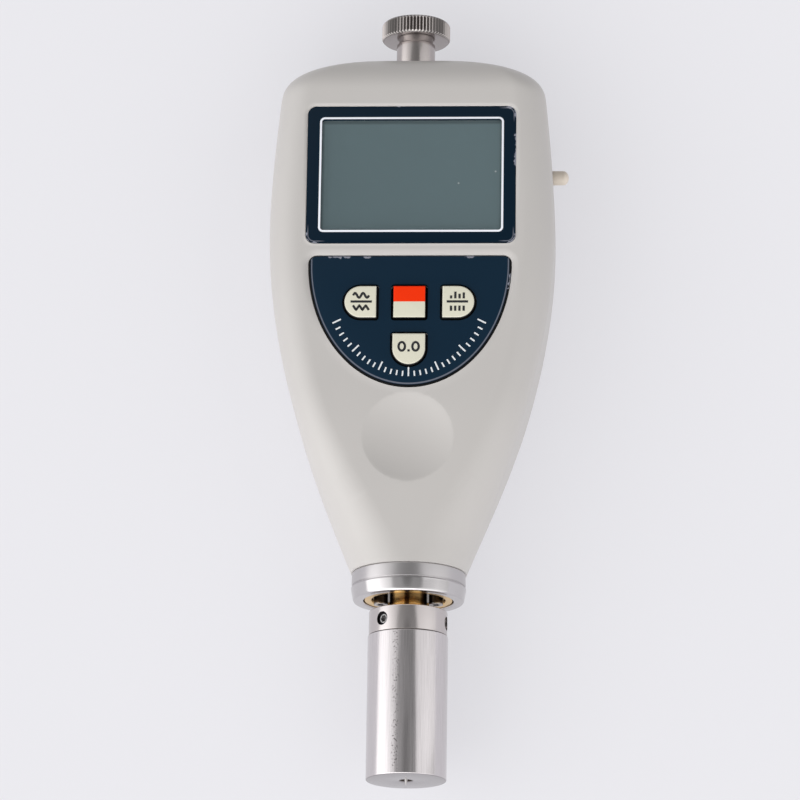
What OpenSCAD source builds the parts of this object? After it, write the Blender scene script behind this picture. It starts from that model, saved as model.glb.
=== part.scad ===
// Hand-held surface profile gauge, lying on its back.
// +Z points out of the display, +Y towards the thumb screw, +X to the right of the display.
// The origin is on the flat back, under the middle of the housing. All sizes are in millimetres.

/* [Housing] */
// Length of the moulded housing, from the neck face to the top face
housing_len = 120.2; // [112:0.2:132]
// Greatest width of the housing
housing_w = 65; // [62:0.5:72]
// Thickness of the housing from back to display face
housing_t = 28; // [27:0.5:32]
// Diameter of the round neck that meets the collar
neck_d = 26; // [25:0.5:28]
// Widening of the flanks at the neck, in mm of half width for each mm of length
neck_flare = 0.42; // [0.4:0.01:0.6]
// Distance from the housing's middle to its widest place
belly_y = 18; // [8:1:24]
// Width where the flanks turn into the top corners
shoulder_w = 61; // [58:0.5:62]
// Length of the top corners along the housing
crown_len = 10.8; // [9:0.2:12]
// Squareness of the top corners, where 2 is a plain ellipse
crown_power = 2.7; // [2.4:0.1:5]
// Radius between the display face and the sides
front_r = 7.5; // [6:0.25:8]
// Radius between the back and the sides
back_r = 7; // [5:0.5:9]
// Radius that rolls the display face over into the top end
top_roll_front = 9; // [7:0.5:9.5]
// Radius that rolls the back over into the top end
top_roll_back = 7; // [5:0.5:8]
// Wall thickness of both shells
wall = 2.4; // [2:0.1:2.8]
// Thickness of the neck wall and of the top wall
end_wall = 3.2; // [2.6:0.1:4]
// Diameter of the thumb dimple below the keypad
dimple_d = 21.6; // [16:0.2:24]
// Depth of the thumb dimple
dimple_depth = 1.1; // [0.6:0.1:1.3]
// Distance from the neck face to the middle of the dimple
dimple_from_neck = 28.6; // [26:0.1:32]

/* [Display] */
// Width of the display window plate
window_w = 47.6; // [44:0.2:49]
// Height of the display window plate
window_h = 32.8; // [30:0.2:34]
// Thickness of the window plate
window_t = 1.1; // [0.9:0.1:1.2]
// Corner radius of the window plate
window_r = 2; // [1:0.1:3]
// Distance from the top face of the housing to the middle of the window
window_from_top = 30; // [29:0.1:32]
// Width of the dark printed frame round the viewing area
window_border = 2.6; // [2:0.1:3.2]
// Thickness of the display panel
lcd_t = 2.8; // [2:0.1:3]
// Margin of the display panel beyond the viewing area
lcd_margin = 2; // [1.6:0.1:2.2]

/* [Keypad] */
// Width of the keypad plate
pad_w = 45.8; // [44:0.2:47]
// Gap between the window plate and the keypad plate
pad_below_window = 3.05; // [2.6:0.05:4]
// Straight side length of the keypad plate above its round end
pad_straight = 1.9; // [1.5:0.1:3]
// Depth of the round end of the keypad plate
pad_round = 28.9; // [27:0.1:30]
// Thickness of the keypad plate
pad_t = 1; // [0.8:0.1:1.2]
// Upper corner radius of the keypad plate
pad_r = 1.8; // [1:0.1:1.8]
// Width of a key
key_w = 7.5; // [7:0.1:7.8]
// Height of a key
key_h = 7.7; // [7.2:0.1:7.9]
// Distance between neighbouring keys
key_pitch = 11.15; // [10.8:0.05:11.5]
// Distance from the top edge of the keypad plate to the key row
key_row_drop = 11; // [10:0.1:11.5]
// How far the keys stand above the keypad plate
key_proud = 0.7; // [0.6:0.05:1]
// Travel of a key
key_travel = 0.5; // [0.3:0.05:0.55]
// Gap round each key
key_gap = 0.4; // [0.3:0.05:0.5]

/* [Probe] */
// Diameter of the probe body
probe_d = 18; // [17:0.2:20]
// Diameter of the clamp ring
clamp_d = 17.6; // [16.6:0.2:19.6]
// Length of the probe body
probe_len = 32.7; // [28:0.1:36]
// Length of the clamp ring
clamp_len = 5.6; // [5:0.1:7]
// Open gap between the clamp ring and the collar
stem_gap = 2.4; // [1.8:0.1:3]
// Diameter of the brass stem
stem_d = 8.4; // [8:0.1:9]
// How far the needle stands out of the probe face
needle_out = 1; // [0.8:0.05:1.2]
// Travel of the needle
needle_travel = 0.9; // [0.8:0.05:1.2]
// Diameter of the needle pin
needle_d = 1.2; // [1:0.05:1.4]
// Diameter of the countersink in the probe face
countersink_d = 3.25; // [2.6:0.05:3.8]
// Diameter of the spindle that carries the needle
spindle_d = 2.4; // [2:0.1:2.8]
// Diameter of a set screw
set_screw_d = 3; // [2.6:0.1:3.2]
// Turn of the first set screw from the display side
set_screw_turn = 39; // [0:1:120]

/* [Collar] */
// Diameter of the collar at the neck
collar_d = 26; // [25:0.2:27]
// Length of the collar
collar_len = 6.4; // [6:0.1:8]
// Length of the lower, tapered band of the collar
collar_band = 3; // [2.4:0.1:3.4]
// Diameter of the recess in the collar face
recess_d = 20.2; // [19.6:0.1:21]
// Depth of the recess in the collar face
recess_depth = 2.2; // [1.9:0.1:2.6]
// Wall of the brass ring
brass_ring_wall = 1.6; // [1.2:0.1:1.8]
// Thickness of the base plate
base_plate_t = 1.2; // [0.8:0.1:1.4]
// Distance of the base plate screws from the axis
base_screw_x = 6.2; // [6:0.05:6.4]
// Head diameter of the base plate screws
base_screw_head = 3.2; // [2.8:0.1:3.4]
// Length of the base plate screws in the collar
base_screw_len = 3; // [2.4:0.1:3]

/* [Thumb screw] */
// Diameter of the knurled head
knob_d = 15.8; // [14:0.2:18]
// Thickness of the knurled head
knob_t = 4.2; // [3.4:0.1:5]
// Number of knurl teeth
knob_teeth = 60; // [40:2:64]
// Depth of the knurl
knob_tooth = 0.45; // [0.25:0.05:0.5]
// Diameter of the shoulder under the head
shoulder_d = 8.9; // [8:0.1:9.6]
// Length of the shoulder
shoulder_len = 6.1; // [5:0.1:7]
// Length of the undercut between shoulder and head
undercut_len = 0.9; // [0.8:0.1:1.4]
// Diameter of the threaded shank
shank_d = 4; // [3.6:0.1:5]
// Length of the threaded shank
shank_len = 7; // [5:0.5:7.5]

/* [Inside] */
// Diameter of a battery cell
cell_d = 10.4; // [10:0.1:10.5]
// Length of a battery cell without its nub
cell_len = 43.7; // [42:0.1:44]
// Thickness of the main board
board_t = 1.6; // [1.2:0.1:1.8]
// Distance from the inner face of the display wall to the board
board_drop = 6; // [5.8:0.1:6.4]
// Outer diameter of the sensor tube
sensor_d = 14; // [13:0.1:14.4]
// Length of the sensor tube
sensor_len = 33; // [31:0.5:35]
// Diameter of the dust plug
plug_d = 3.3; // [3:0.1:3.8]
// How far the dust plug stands out of the side
plug_out = 3.7; // [3:0.1:4.5]
// Distance from the top face to the dust plug
plug_from_top = 26.4; // [25:0.1:30]
// Thickness of the battery door
door_t = 1.7; // [1.5:0.1:1.8]

/* [Fits] */
// Radial clearance of a running fit
run_fit = 0.03; // [0.02:0.005:0.05]
// Clearance between seated pieces
seat_fit = 0.05; // [0.03:0.01:0.08]
// Gap round the battery door and the inlaid plates
panel_gap = 0.15; // [0.12:0.01:0.2]

/* [Hidden] */
$fn = 48;
eps = 0.01;

// Colours, as the object shows them
ivory = [0.80, 0.79, 0.75];
navy = [0.08, 0.13, 0.22];
cream = [0.88, 0.86, 0.78];
signal_red = [0.90, 0.20, 0.06];
lcd_grey = [0.42, 0.48, 0.47];
steel = [0.72, 0.71, 0.69];
silver = [0.80, 0.80, 0.80];
brass = [0.80, 0.66, 0.32];
board_green = [0.10, 0.35, 0.18];
dark = [0.12, 0.12, 0.13];
copper = [0.72, 0.42, 0.22];

// Levels and places that follow from the sizes above
y_neck = -housing_len / 2;
y_top = housing_len / 2;
z_mid = housing_t / 2;
z_inner = housing_t - wall;
neck_r = neck_d / 2;
belly_half = housing_w / 2;
shoulder_half = shoulder_w / 2;
crown_start = y_top - crown_len;
back_trim = 0.2;
blend_end = y_neck + 40;
window_y = y_top - window_from_top;
window_z = housing_t - 0.1;
view_w = window_w - 2 * window_border;
view_h = window_h - 2 * window_border;
pad_top = window_y - window_h / 2 - pad_below_window;
pad_z = housing_t - 0.1;
key_row_y = pad_top - key_row_drop;
key_flange = 1;
key_flange_t = 0.8;
board_z = z_inner - board_drop;
board_under = board_z - board_t;
lcd_z = z_inner - lcd_t;
lcd_w = view_w + 2 * lcd_margin;
lcd_h = view_h + 2 * lcd_margin;

// The turned pieces share one axis; these are their places along it
axis_z = z_mid;
collar_low = y_neck - collar_len;
recess_floor = collar_low + recess_depth;
clamp_top = collar_low - stem_gap;
clamp_low = clamp_top - clamp_len;
probe_low = clamp_low - probe_len;
spigot_d = 17;
nut_wall = 1.7;
base_screw_d = 1.8;
spigot_top = y_neck + end_wall + 3;
neck_bore_d = spigot_d + 2 * seat_fit;
sensor_low = y_neck - 0.4;
sensor_top = sensor_low + sensor_len;
sensor_bore = sensor_d - 2;
clamp_spigot_d = 12;
clamp_spigot_len = 5;
stem_low = clamp_low - clamp_spigot_len;
stem_bore = 5;
bush_d = 6;
foot_wall = 3.6;
spindle_low = probe_low + foot_wall + 1.6;
spindle_top = sensor_top - 9;
spindle_head_t = 1.2;
spindle_head_d = 5;
core_len = 10;
core_d = 4.2;
former_bore = core_d + 0.8;
former_low = sensor_low + 5;
former_top = spindle_top - spindle_head_t - needle_travel - 1.6;
plug_len = 2.4;
plug_y = y_top - plug_from_top;

// Battery room
cell_pitch = cell_d + 0.4;
cell_count = 4;
tray_half = cell_pitch * cell_count / 2 + 0.4;
tray_from_top = 9.4;
tray_high = y_top - tray_from_top;
contact_t = 0.4;
contact_reach = 2;
cell_nub = 0.8;
cell_low = tray_high - contact_t - cell_nub - cell_len;
tray_low = cell_low - contact_t - contact_reach;
tray_wall = 1.4;
door_half = tray_half + 0.6;
door_low = tray_low - 1.2;
door_flange_y = y_top - 4.2;
door_flange_z = 5;
grip_d = 0.8;
grip_len = 16;
cell_z = door_t + panel_gap + cell_d / 2;
tray_roof = cell_z + cell_d / 2 + 0.3;

// Screws of the housing and of the board
house_screws = [[lcd_w / 2 + 3.6, y_top - 15.2], [15.5, y_neck + 32]];
house_screw_d = 2.6;
house_well_d = 5.4;
house_well_z = 5;
house_boss_d = 4.6;
board_top = y_top - 8;
board_low = sensor_top + 4;
board_edge = 3;
board_posts = [[20, board_top - board_edge], [12.5, board_low + board_edge]];
board_screw_d = 2;
board_post_d = 4.2;

// Outline of the housing: half width, front level, back level and edge radius at each place along Y
function smooth(a, b, y) = let (t = max(0, min(1, (y - a) / (b - a)))) t * t * (3 - 2 * t);
function hermite(t, a, b, slope_a, slope_b) =
    (2 * t^3 - 3 * t^2 + 1) * a + (t^3 - 2 * t^2 + t) * slope_a
    + (3 * t^2 - 2 * t^3) * b + (t^3 - t^2) * slope_b;
shoulder_slope = -0.1;
function flank(y) = let (run = belly_y - y_neck)
    hermite((y - y_neck) / run, neck_r, belly_half, neck_flare * run, 0);
function upper(y) = let (run = crown_start - belly_y)
    hermite((y - belly_y) / run, belly_half, shoulder_half, 0, shoulder_slope * run);
function crown(y) = let (d = min(0.999, (y - crown_start) / crown_len))
    (shoulder_half + shoulder_slope * (y - crown_start)) * (1 - d^crown_power)^(1 / crown_power);
function half_width(y) = y < belly_y ? flank(y) : y < crown_start ? upper(y) : crown(y);
function roll(y, r) = let (u = max(0, min(0.99, (y - y_top + r) / r))) r * (1 - sqrt(1 - u * u));
function front_level(y) = let (neck_z = axis_z + neck_r)
    neck_z + (housing_t - neck_z) * smooth(y_neck, blend_end, y) - roll(y, top_roll_front);
function back_level(y) = let (neck_z = axis_z - neck_r)
    neck_z - (neck_z + back_trim) * smooth(y_neck, blend_end, y) + roll(y, top_roll_back);
function edge_radius(y, r) = neck_r + (r - neck_r) * smooth(y_neck, blend_end, y);

function face_z(x, y, inset) =
    let (w = half_width(y) - inset, r = edge_radius(y, front_r) - inset)
    let (d = max(0, abs(x) - w + r))
    front_level(y) - inset - r + sqrt(r * r - d * d);

// One half of a section: up the side, round the edge, across the face and down the other side
edge_steps = 6;
function half_section(w, h, r_wish) =
    let (r = max(0.4, min(r_wish, w - 0.3, h - 0.3)))
    concat(
        [[-w, 0]],
        [for (i = [0:edge_steps]) let (a = 90 * i / edge_steps)
            [-(w - r) - r * cos(a), h - r + r * sin(a)]],
        [for (i = [0:edge_steps]) let (a = 90 * i / edge_steps)
            [(w - r) + r * sin(a), h - r + r * cos(a)]],
        [[w, 0]]);

// Places along Y: even steps up the flanks, then close steps round the top corners
crown_end = 80;
stations = concat(
    [for (i = [0:11]) y_neck + (belly_y - y_neck) * i / 12],
    [for (i = [0:4]) belly_y + (crown_start - belly_y) * i / 5],
    [for (a = [0:10:crown_end]) crown_start + crown_len * pow(sin(a), 2 / crown_power)]);
last = len(stations) - 1;
top_face_y = stations[last];
function inner_place(y) = y_neck + end_wall
    + (top_face_y - y_neck - 2 * end_wall) * (y - y_neck) / (top_face_y - y_neck);

// Points of one half: side is 1 for the display half and -1 for the back half, inset is the wall
function ring(y, side, inset) =
    let (h = side > 0 ? front_level(y) - z_mid : z_mid - back_level(y))
    let (r = edge_radius(y, side > 0 ? front_r : back_r))
    [for (p = half_section(half_width(y) - inset, h - inset, r - inset)) [p.x, y, z_mid + side * p.y]];

// A half shell as one closed surface: outer skin, inner skin, parting rim and both ends
module half_shell(side) {
    count = 2 * edge_steps + 4;
    right = count - 1;
    rows = last + 1;
    outer = [for (y = stations) each ring(y, side, 0)];
    inner = [for (y = stations) each ring(inner_place(y), side, wall)];
    function o(i, j) = i * count + j;
    function n(i, j) = rows * count + i * count + j;
    faces = concat(
        [for (i = [0:last - 1], j = [0:right - 1]) each
            [[o(i, j), o(i, j + 1), o(i + 1, j + 1)], [o(i, j), o(i + 1, j + 1), o(i + 1, j)]]],
        [for (i = [0:last - 1], j = [0:right - 1]) each
            [[n(i, j), n(i + 1, j + 1), n(i, j + 1)], [n(i, j), n(i + 1, j), n(i + 1, j + 1)]]],
        [for (i = [0:last - 1]) [o(i, 0), o(i + 1, 0), n(i + 1, 0), n(i, 0)]],
        [for (i = [0:last - 1]) [o(i + 1, right), o(i, right), n(i, right), n(i + 1, right)]],
        [[o(0, right), o(0, 0), n(0, 0), n(0, right)]],
        [[o(last, 0), o(last, right), n(last, right), n(last, 0)]],
        [[for (j = [right:-1:0]) o(0, j)]],
        [[for (j = [0:right]) o(last, j)]],
        [[for (j = [0:right]) n(0, j)]],
        [[for (j = [right:-1:0]) n(last, j)]]);
    turned_faces = side > 0 ? [for (f = faces) [for (k = [len(f) - 1:-1:0]) f[k]]] : faces;
    polyhedron(points = concat(outer, inner), faces = turned_faces, convexity = 6);
}

// The solid form of the back half, from which the battery door takes its outer face
module back_form() {
    count = 2 * edge_steps + 4;
    right = count - 1;
    function o(i, j) = i * count + j;
    faces = concat(
        [for (i = [0:last - 1], j = [0:right - 1]) each
            [[o(i, j), o(i, j + 1), o(i + 1, j + 1)], [o(i, j), o(i + 1, j + 1), o(i + 1, j)]]],
        [concat([for (i = [0:last]) o(i, 0)], [for (i = [last:-1:0]) o(i, right)])],
        [[for (j = [right:-1:0]) o(0, j)]],
        [[for (j = [0:right]) o(last, j)]]);
    polyhedron(points = [for (y = stations) each ring(y, -1, 0)], faces = faces, convexity = 4);
}

// Helpers
module on_axis() {
    translate([0, 0, axis_z]) rotate([-90, 0, 0]) children();
}
module rod(low, high, d) {
    translate([0, 0, low]) cylinder(d = d, h = high - low);
}
module tube(low, high, d, bore) {
    difference() {
        rod(low, high, d);
        rod(low - 1, high + 1, bore);
    }
}
module round_rect(w, h, r) {
    square([w - 2 * r, h], center = true);
    square([w, h - 2 * r], center = true);
    for (x = [-1, 1], y = [-1, 1]) translate([x * (w / 2 - r), y * (h / 2 - r)]) circle(r = r);
}
module both_sides() {
    children();
    mirror([1, 0, 0]) children();
}
module hex_socket(low, across, depth) {
    translate([0, 0, low]) cylinder(d = across / cos(30), h = depth, $fn = 6);
}

// Outline of the keypad plate: straight top with round corners, half ellipse below
function pad_outline(grow) =
    let (a = pad_w / 2 + grow, b = pad_round + grow, r = pad_r + grow, top = pad_top + grow)
    let (mid = pad_top - pad_straight)
    concat(
        [for (t = [0:30:90]) [a - r + r * cos(t), top - r + r * sin(t)]],
        [for (t = [90:30:180]) [-a + r + r * cos(t), top - r + r * sin(t)]],
        [for (t = [180:7.5:360]) [a * cos(t), mid + b * sin(t)]]);

// Keys: [centre, turn of the round end]; a square key has no round end
unit_at = [-key_pitch, key_row_y];
power_at = [0, key_row_y];
average_at = [key_pitch, key_row_y];
zero_at = [0, key_row_y - key_pitch];
module round_key(grow) {
    r = key_h / 2 + grow;
    translate([key_h / 2 - key_w / 2, 0]) circle(r = r);
    translate([key_h / 2 - key_w / 2, -r]) square([key_w - key_h / 2 + grow, 2 * r]);
}
module key_place(at, turn) {
    translate(at) rotate(turn) children();
}
module key_outlines(grow) {
    key_place(unit_at, 0) round_key(grow);
    key_place(average_at, 180) round_key(grow);
    key_place(zero_at, 90) round_key(grow);
    translate(power_at) square([key_w + 2 * grow, key_h + 2 * grow], center = true);
}
key_top = pad_z + key_proud;
key_flange_top = z_inner - seat_fit;
key_flange_low = key_flange_top - key_flange_t;
module key_body() {
    translate([0, 0, key_flange_low]) linear_extrude(key_flange_t) children(0);
    translate([0, 0, key_flange_low]) linear_extrude(key_top - key_flange_low) children(1);
}

// Shells
module front_shell() {
    color(ivory) difference() {
        union() {
            half_shell(1);
            both_sides() for (p = board_posts) translate([p.x, p.y, board_z])
                cylinder(d = board_post_d, h = z_inner - board_z + wall / 2);
            both_sides() for (p = house_screws) translate([p.x, p.y, z_mid])
                cylinder(d = house_boss_d, h = face_z(p.x + house_boss_d / 2, p.y, wall / 2) - z_mid);
        }
        translate([0, window_y, window_z - window_t]) linear_extrude(5)
            round_rect(window_w + 2 * panel_gap, window_h + 2 * panel_gap, window_r + panel_gap);
        translate([0, window_y, z_inner - 1]) linear_extrude(6) round_rect(view_w, view_h, window_r / 2);
        translate([0, 0, pad_z - pad_t]) linear_extrude(5) polygon(pad_outline(panel_gap));
        translate([0, 0, z_inner - 1]) linear_extrude(6) key_outlines(key_gap);
        thumb_dimple();
        shared_bores();
        both_sides() for (p = board_posts) translate([p.x, p.y, board_z - 1])
            cylinder(d = board_screw_d + 2 * seat_fit, h = 5);
        both_sides() for (p = house_screws) translate([p.x, p.y, z_mid - 1])
            cylinder(d = house_screw_d + 2 * seat_fit, h = 7);
    }
}
module thumb_dimple() {
    reach = (dimple_d^2 / 4 + dimple_depth^2) / (2 * dimple_depth);
    translate([0, y_neck + dimple_from_neck, housing_t - dimple_depth + reach]) sphere(r = reach, $fn = 96);
}
module shared_bores() {
    on_axis() rod(y_neck - 1, y_neck + end_wall + 1, neck_bore_d);
    on_axis() rod(top_face_y - end_wall - 1, top_face_y + 1, insert_d + 2 * seat_fit);
    translate([0, plug_y, z_mid]) rotate([0, 90, 0]) cylinder(d = jack_nose_d + 2 * panel_gap, h = housing_w);
}
module rear_shell() {
    color(ivory) difference() {
        union() {
            half_shell(-1);
            translate([-tray_half - tray_wall, tray_low - tray_wall, wall / 2])
                cube([2 * (tray_half + tray_wall), tray_high - tray_low + 2 * tray_wall,
                    tray_roof + tray_wall - wall / 2]);
            intersection() {
                back_form();
                both_sides() for (p = house_screws) translate([p.x, p.y, 0])
                    cylinder(d = house_well_d + 2.4, h = house_well_z + 1.4);
            }
        }
        translate([-tray_half, tray_low, -1]) cube([2 * tray_half, tray_high - tray_low, tray_roof + 1]);
        translate([-housing_w, -housing_len, -5]) cube([2 * housing_w, 2 * housing_len, 5]);
        door_space(panel_gap);
        shared_bores();
        both_sides() for (p = house_screws) translate([p.x, p.y, 0]) {
            translate([0, 0, -1]) cylinder(d = house_well_d, h = house_well_z + 1);
            cylinder(d = house_screw_d + 2 * seat_fit, h = housing_t / 2);
        }
    }
}

// Battery door: a plate in the back with a lip that wraps the top end; it slides off towards the top
module door_space(grow) {
    translate([-door_half - grow, door_low - grow, -1])
        cube([2 * (door_half + grow), housing_len, door_t + grow + 1]);
    translate([-door_half - grow, door_flange_y - grow, -1])
        cube([2 * (door_half + grow), housing_len, door_flange_z + grow + 1]);
}
module battery_door() {
    color(ivory) difference() {
        intersection() {
            back_form();
            door_space(0);
        }
        translate([-housing_w, -housing_len, -5]) cube([2 * housing_w, 2 * housing_len, 5]);
        for (i = [0:5]) translate([0, tray_high - (i + 1) * 2 * grip_d, 0]) rotate([0, 90, 0])
            cylinder(d = grip_d, h = grip_len, center = true);
    }
}
module housing_screws() {
    head_t = 2;
    color(steel) both_sides() for (p = house_screws) translate([p.x, p.y, house_well_z - head_t])
        difference() {
            union() {
                cylinder(d = house_well_d - 0.8, h = head_t);
                cylinder(d = house_screw_d, h = z_mid + 5 - house_well_z + head_t);
            }
            for (t = [0, 90]) rotate(t) translate([-1.3, -0.3, -1]) cube([2.6, 0.6, 2]);
        }
}

// Display
module display_window() {
    color(navy) translate([0, window_y, window_z - window_t]) linear_extrude(window_t)
        round_rect(window_w, window_h, window_r);
}
module display_panel() {
    color(lcd_grey) translate([0, window_y, lcd_z]) linear_extrude(lcd_t)
        round_rect(lcd_w, lcd_h, 0.4);
}
module display_holder() {
    holder_wall = 2;
    color(dark) translate([0, window_y, board_z]) linear_extrude(lcd_z - board_z) difference() {
        square([lcd_w, lcd_h], center = true);
        square([lcd_w - 2 * holder_wall, lcd_h - 2 * holder_wall], center = true);
    }
}

// Keypad
module keypad_plate() {
    color(navy) translate([0, 0, pad_z - pad_t]) linear_extrude(pad_t) difference() {
        polygon(pad_outline(0));
        key_outlines(key_gap);
    }
}
module unit_key() {
    color(cream) key_place(unit_at, 0) key_body() {
        round_key(key_flange);
        round_key(0);
    }
}
module average_key() {
    color(cream) key_place(average_at, 180) key_body() {
        round_key(key_flange);
        round_key(0);
    }
}
module zero_key() {
    color(cream) key_place(zero_at, 90) key_body() {
        round_key(key_flange);
        round_key(0);
    }
}
module power_key() {
    color(signal_red) translate(power_at) key_body() {
        square([key_w + 2 * key_flange, key_h + 2 * key_flange], center = true);
        square([key_w, key_h], center = true);
    }
}

// Board and what is on it
module main_board() {
    wide = lcd_w / 2;
    slim = board_posts[1].x + board_edge;
    brow = board_posts[0].x + board_edge;
    hip = key_row_y;
    color(board_green) translate([0, 0, board_under]) linear_extrude(board_t) difference() {
        polygon([[-slim, board_low], [slim, board_low], [wide, hip], [wide, board_top - 2 * board_edge],
            [brow, board_top], [-brow, board_top], [-wide, board_top - 2 * board_edge], [-wide, hip]]);
        both_sides() for (p = board_posts) translate(p) circle(d = board_screw_d + 2 * seat_fit);
    }
}
module controller_chip() {
    chip_w = 12;
    chip_t = 1.4;
    color(dark) translate([-chip_w / 2, window_y - chip_w / 2, board_z]) cube([chip_w, chip_w, chip_t]);
}
module key_switches() {
    switch_w = 6;
    plunger_top = key_flange_low - key_travel - 0.15;
    color(dark) for (p = [unit_at, power_at, average_at, zero_at]) translate([p.x, p.y, board_z]) {
        translate([-switch_w / 2, -switch_w / 2, 0]) cube([switch_w, switch_w, plunger_top - board_z - 0.7]);
        cylinder(d = 3.4, h = plunger_top - board_z);
    }
}
module board_screws() {
    head_t = 1.3;
    color(steel) both_sides() for (p = board_posts) translate([p.x, p.y, board_under - head_t]) {
        cylinder(d = 3.6, h = head_t);
        cylinder(d = board_screw_d, h = head_t + board_t + 3.6);
    }
}

// Battery cells lie side by side, every second one turned round
function cell_x(i) = (i - (cell_count - 1) / 2) * cell_pitch;
module battery_cells() {
    color(dark) for (i = [0:cell_count - 1]) translate([cell_x(i), 0, cell_z]) rotate([-90, 0, 0]) {
        rod(cell_low, cell_low + cell_len, cell_d);
        rod(cell_low + cell_len - eps, cell_low + cell_len + cell_nub, 3.8);
    }
}
module spring_contacts() {
    leaf_w = 0.6 * cell_d;
    half = leaf_w / 2;
    color(steel) for (i = [0:cell_count - 1])
        translate([cell_x(i) - half, tray_low, cell_z]) rotate([90, 0, 90])
            linear_extrude(leaf_w) polygon([[0, -half], [contact_t, -half],
                [contact_t + contact_reach, 0], [contact_t, half], [0, half]]);
}
module plain_contacts() {
    plate_w = 0.75 * cell_d;
    color(steel) for (i = [0:cell_count - 1])
        translate([cell_x(i) - plate_w / 2, tray_high - contact_t, cell_z - plate_w / 2])
            cube([plate_w, contact_t, plate_w]);
}

// Data jack under the board, with the dust plug in it
jack_nose_d = 5;
plug_shank_d = 2.4;
jack_x = tray_half + tray_wall + 0.3;
jack_end = half_width(plug_y) - wall - 0.6;
jack_face = half_width(plug_y) - 0.9;
module data_jack() {
    color(dark) difference() {
        union() {
            translate([jack_x, plug_y - 4, z_mid - 3.2])
                cube([jack_end - jack_x, 8, board_under - z_mid + 3.2]);
            translate([jack_x, plug_y, z_mid]) rotate([0, 90, 0])
                cylinder(d = jack_nose_d, h = jack_face - jack_x);
        }
        translate([jack_x + 0.8, plug_y, z_mid]) rotate([0, 90, 0])
            cylinder(d = plug_shank_d + 2 * run_fit, h = housing_w);
    }
}
module dust_plug() {
    end_r = 1;
    out = half_width(plug_y) + plug_out;
    color(cream) translate([0, plug_y, z_mid]) rotate([0, 90, 0]) {
        translate([0, 0, jack_x + 1.2]) cylinder(d = plug_shank_d, h = jack_face - jack_x - 1.2 + eps);
        rotate_extrude() {
            translate([0, jack_face]) square([plug_d / 2, out - jack_face - end_r]);
            translate([0, jack_face]) square([plug_d / 2 - end_r, out - jack_face]);
            translate([plug_d / 2 - end_r, out - end_r]) intersection() {
                circle(r = end_r);
                square(end_r);
            }
        }
    }
}

// Thumb screw at the top end, and the threaded insert that it turns in
insert_d = 7;
insert_flange_d = 11;
insert_flange_t = 2;
module screw_insert() {
    color(brass) on_axis() difference() {
        union() {
            rod(top_face_y - end_wall, top_face_y, insert_d);
            rod(top_face_y - end_wall - insert_flange_t, top_face_y - end_wall, insert_flange_d);
        }
        rod(top_face_y - end_wall - 5, top_face_y + 1, shank_d + 2 * run_fit);
    }
}
knob_low = top_face_y + shoulder_len + undercut_len;
module knurl_outline() {
    polygon([for (i = [0:2 * knob_teeth - 1]) let (a = 180 * i / knob_teeth)
        let (r = knob_d / 2 - (i % 2) * knob_tooth) [r * cos(a), r * sin(a)]]);
}
module thumb_screw() {
    rim = 0.25;
    undercut_drop = 0.5;
    r = knob_d / 2;
    color(steel) on_axis() {
        rod(top_face_y - shank_len, top_face_y + seat_fit + eps, shank_d);
        translate([0, 0, top_face_y + seat_fit]) cylinder(d = shoulder_d, h = shoulder_len - seat_fit);
        rod(top_face_y + shoulder_len - eps, knob_low + eps, shoulder_d - 2 * undercut_drop);
        intersection() {
            translate([0, 0, knob_low]) linear_extrude(knob_t) knurl_outline();
            rotate_extrude() polygon([[0, knob_low], [r - rim, knob_low], [r + rim, knob_low + 2 * rim],
                [r + rim, knob_low + knob_t - 2 * rim], [r - rim, knob_low + knob_t], [0, knob_low + knob_t]]);
        }
    }
}

// Collar: plain upper band, fine groove, tapered lower band with a rounded edge, spigot into the neck
module collar() {
    r = collar_d / 2;
    band = collar_low + collar_band;
    edge = 0.9;
    groove = 0.3;
    color(silver) on_axis() difference() {
        union() {
            rotate_extrude($fn = 96) {
                polygon([[0, collar_low], [r - 0.5 - edge, collar_low], [r - 0.5, collar_low + edge],
                    [r, band], [r - groove, band], [r - groove, band + groove], [r - 0.2, band + groove],
                    [r - 0.2, y_neck], [0, y_neck]]);
                translate([r - 0.5 - edge, collar_low + edge]) circle(r = edge);
            }
            rod(y_neck - eps, spigot_top, spigot_d);
        }
        rod(collar_low - 1, recess_floor, recess_d);
        rod(collar_low - 1, y_neck, stem_d + 2 * seat_fit);
        rod(sensor_low, spigot_top + 1, sensor_d + 2 * seat_fit);
        for (x = [-1, 1]) translate([x * base_screw_x, 0, 0])
            rod(recess_floor - 1, recess_floor + base_screw_len + 0.4, base_screw_d + 2 * seat_fit);
    }
}
module collar_nut() {
    color(silver) on_axis() tube(y_neck + end_wall, spigot_top, spigot_d + 2 * nut_wall,
        spigot_d + 2 * seat_fit);
}
module brass_ring() {
    color(brass) on_axis() tube(collar_low + 0.3, recess_floor, recess_d - 0.4,
        recess_d - 0.4 - 2 * brass_ring_wall);
}
module base_plate() {
    color(silver) on_axis() difference() {
        rod(recess_floor - base_plate_t, recess_floor, recess_d - 0.8 - 2 * brass_ring_wall);
        rod(collar_low - 1, y_neck, stem_d + 2 * seat_fit);
        for (x = [-1, 1]) translate([x * base_screw_x, 0, 0])
            rod(collar_low, y_neck, base_screw_d + 2 * seat_fit);
    }
}
module base_screws() {
    head_t = 1.6;
    low = recess_floor - base_plate_t;
    color(silver) on_axis() for (x = [-1, 1]) translate([x * base_screw_x, 0, 0]) difference() {
        union() {
            rod(low - head_t, low, base_screw_head);
            rod(low - eps, recess_floor + base_screw_len, base_screw_d);
        }
        hex_socket(low - head_t - 0.2, 1.5, 1.2);
    }
}
module brass_stem() {
    color(brass) on_axis() tube(stem_low, sensor_low, stem_d, stem_bore);
}

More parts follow.
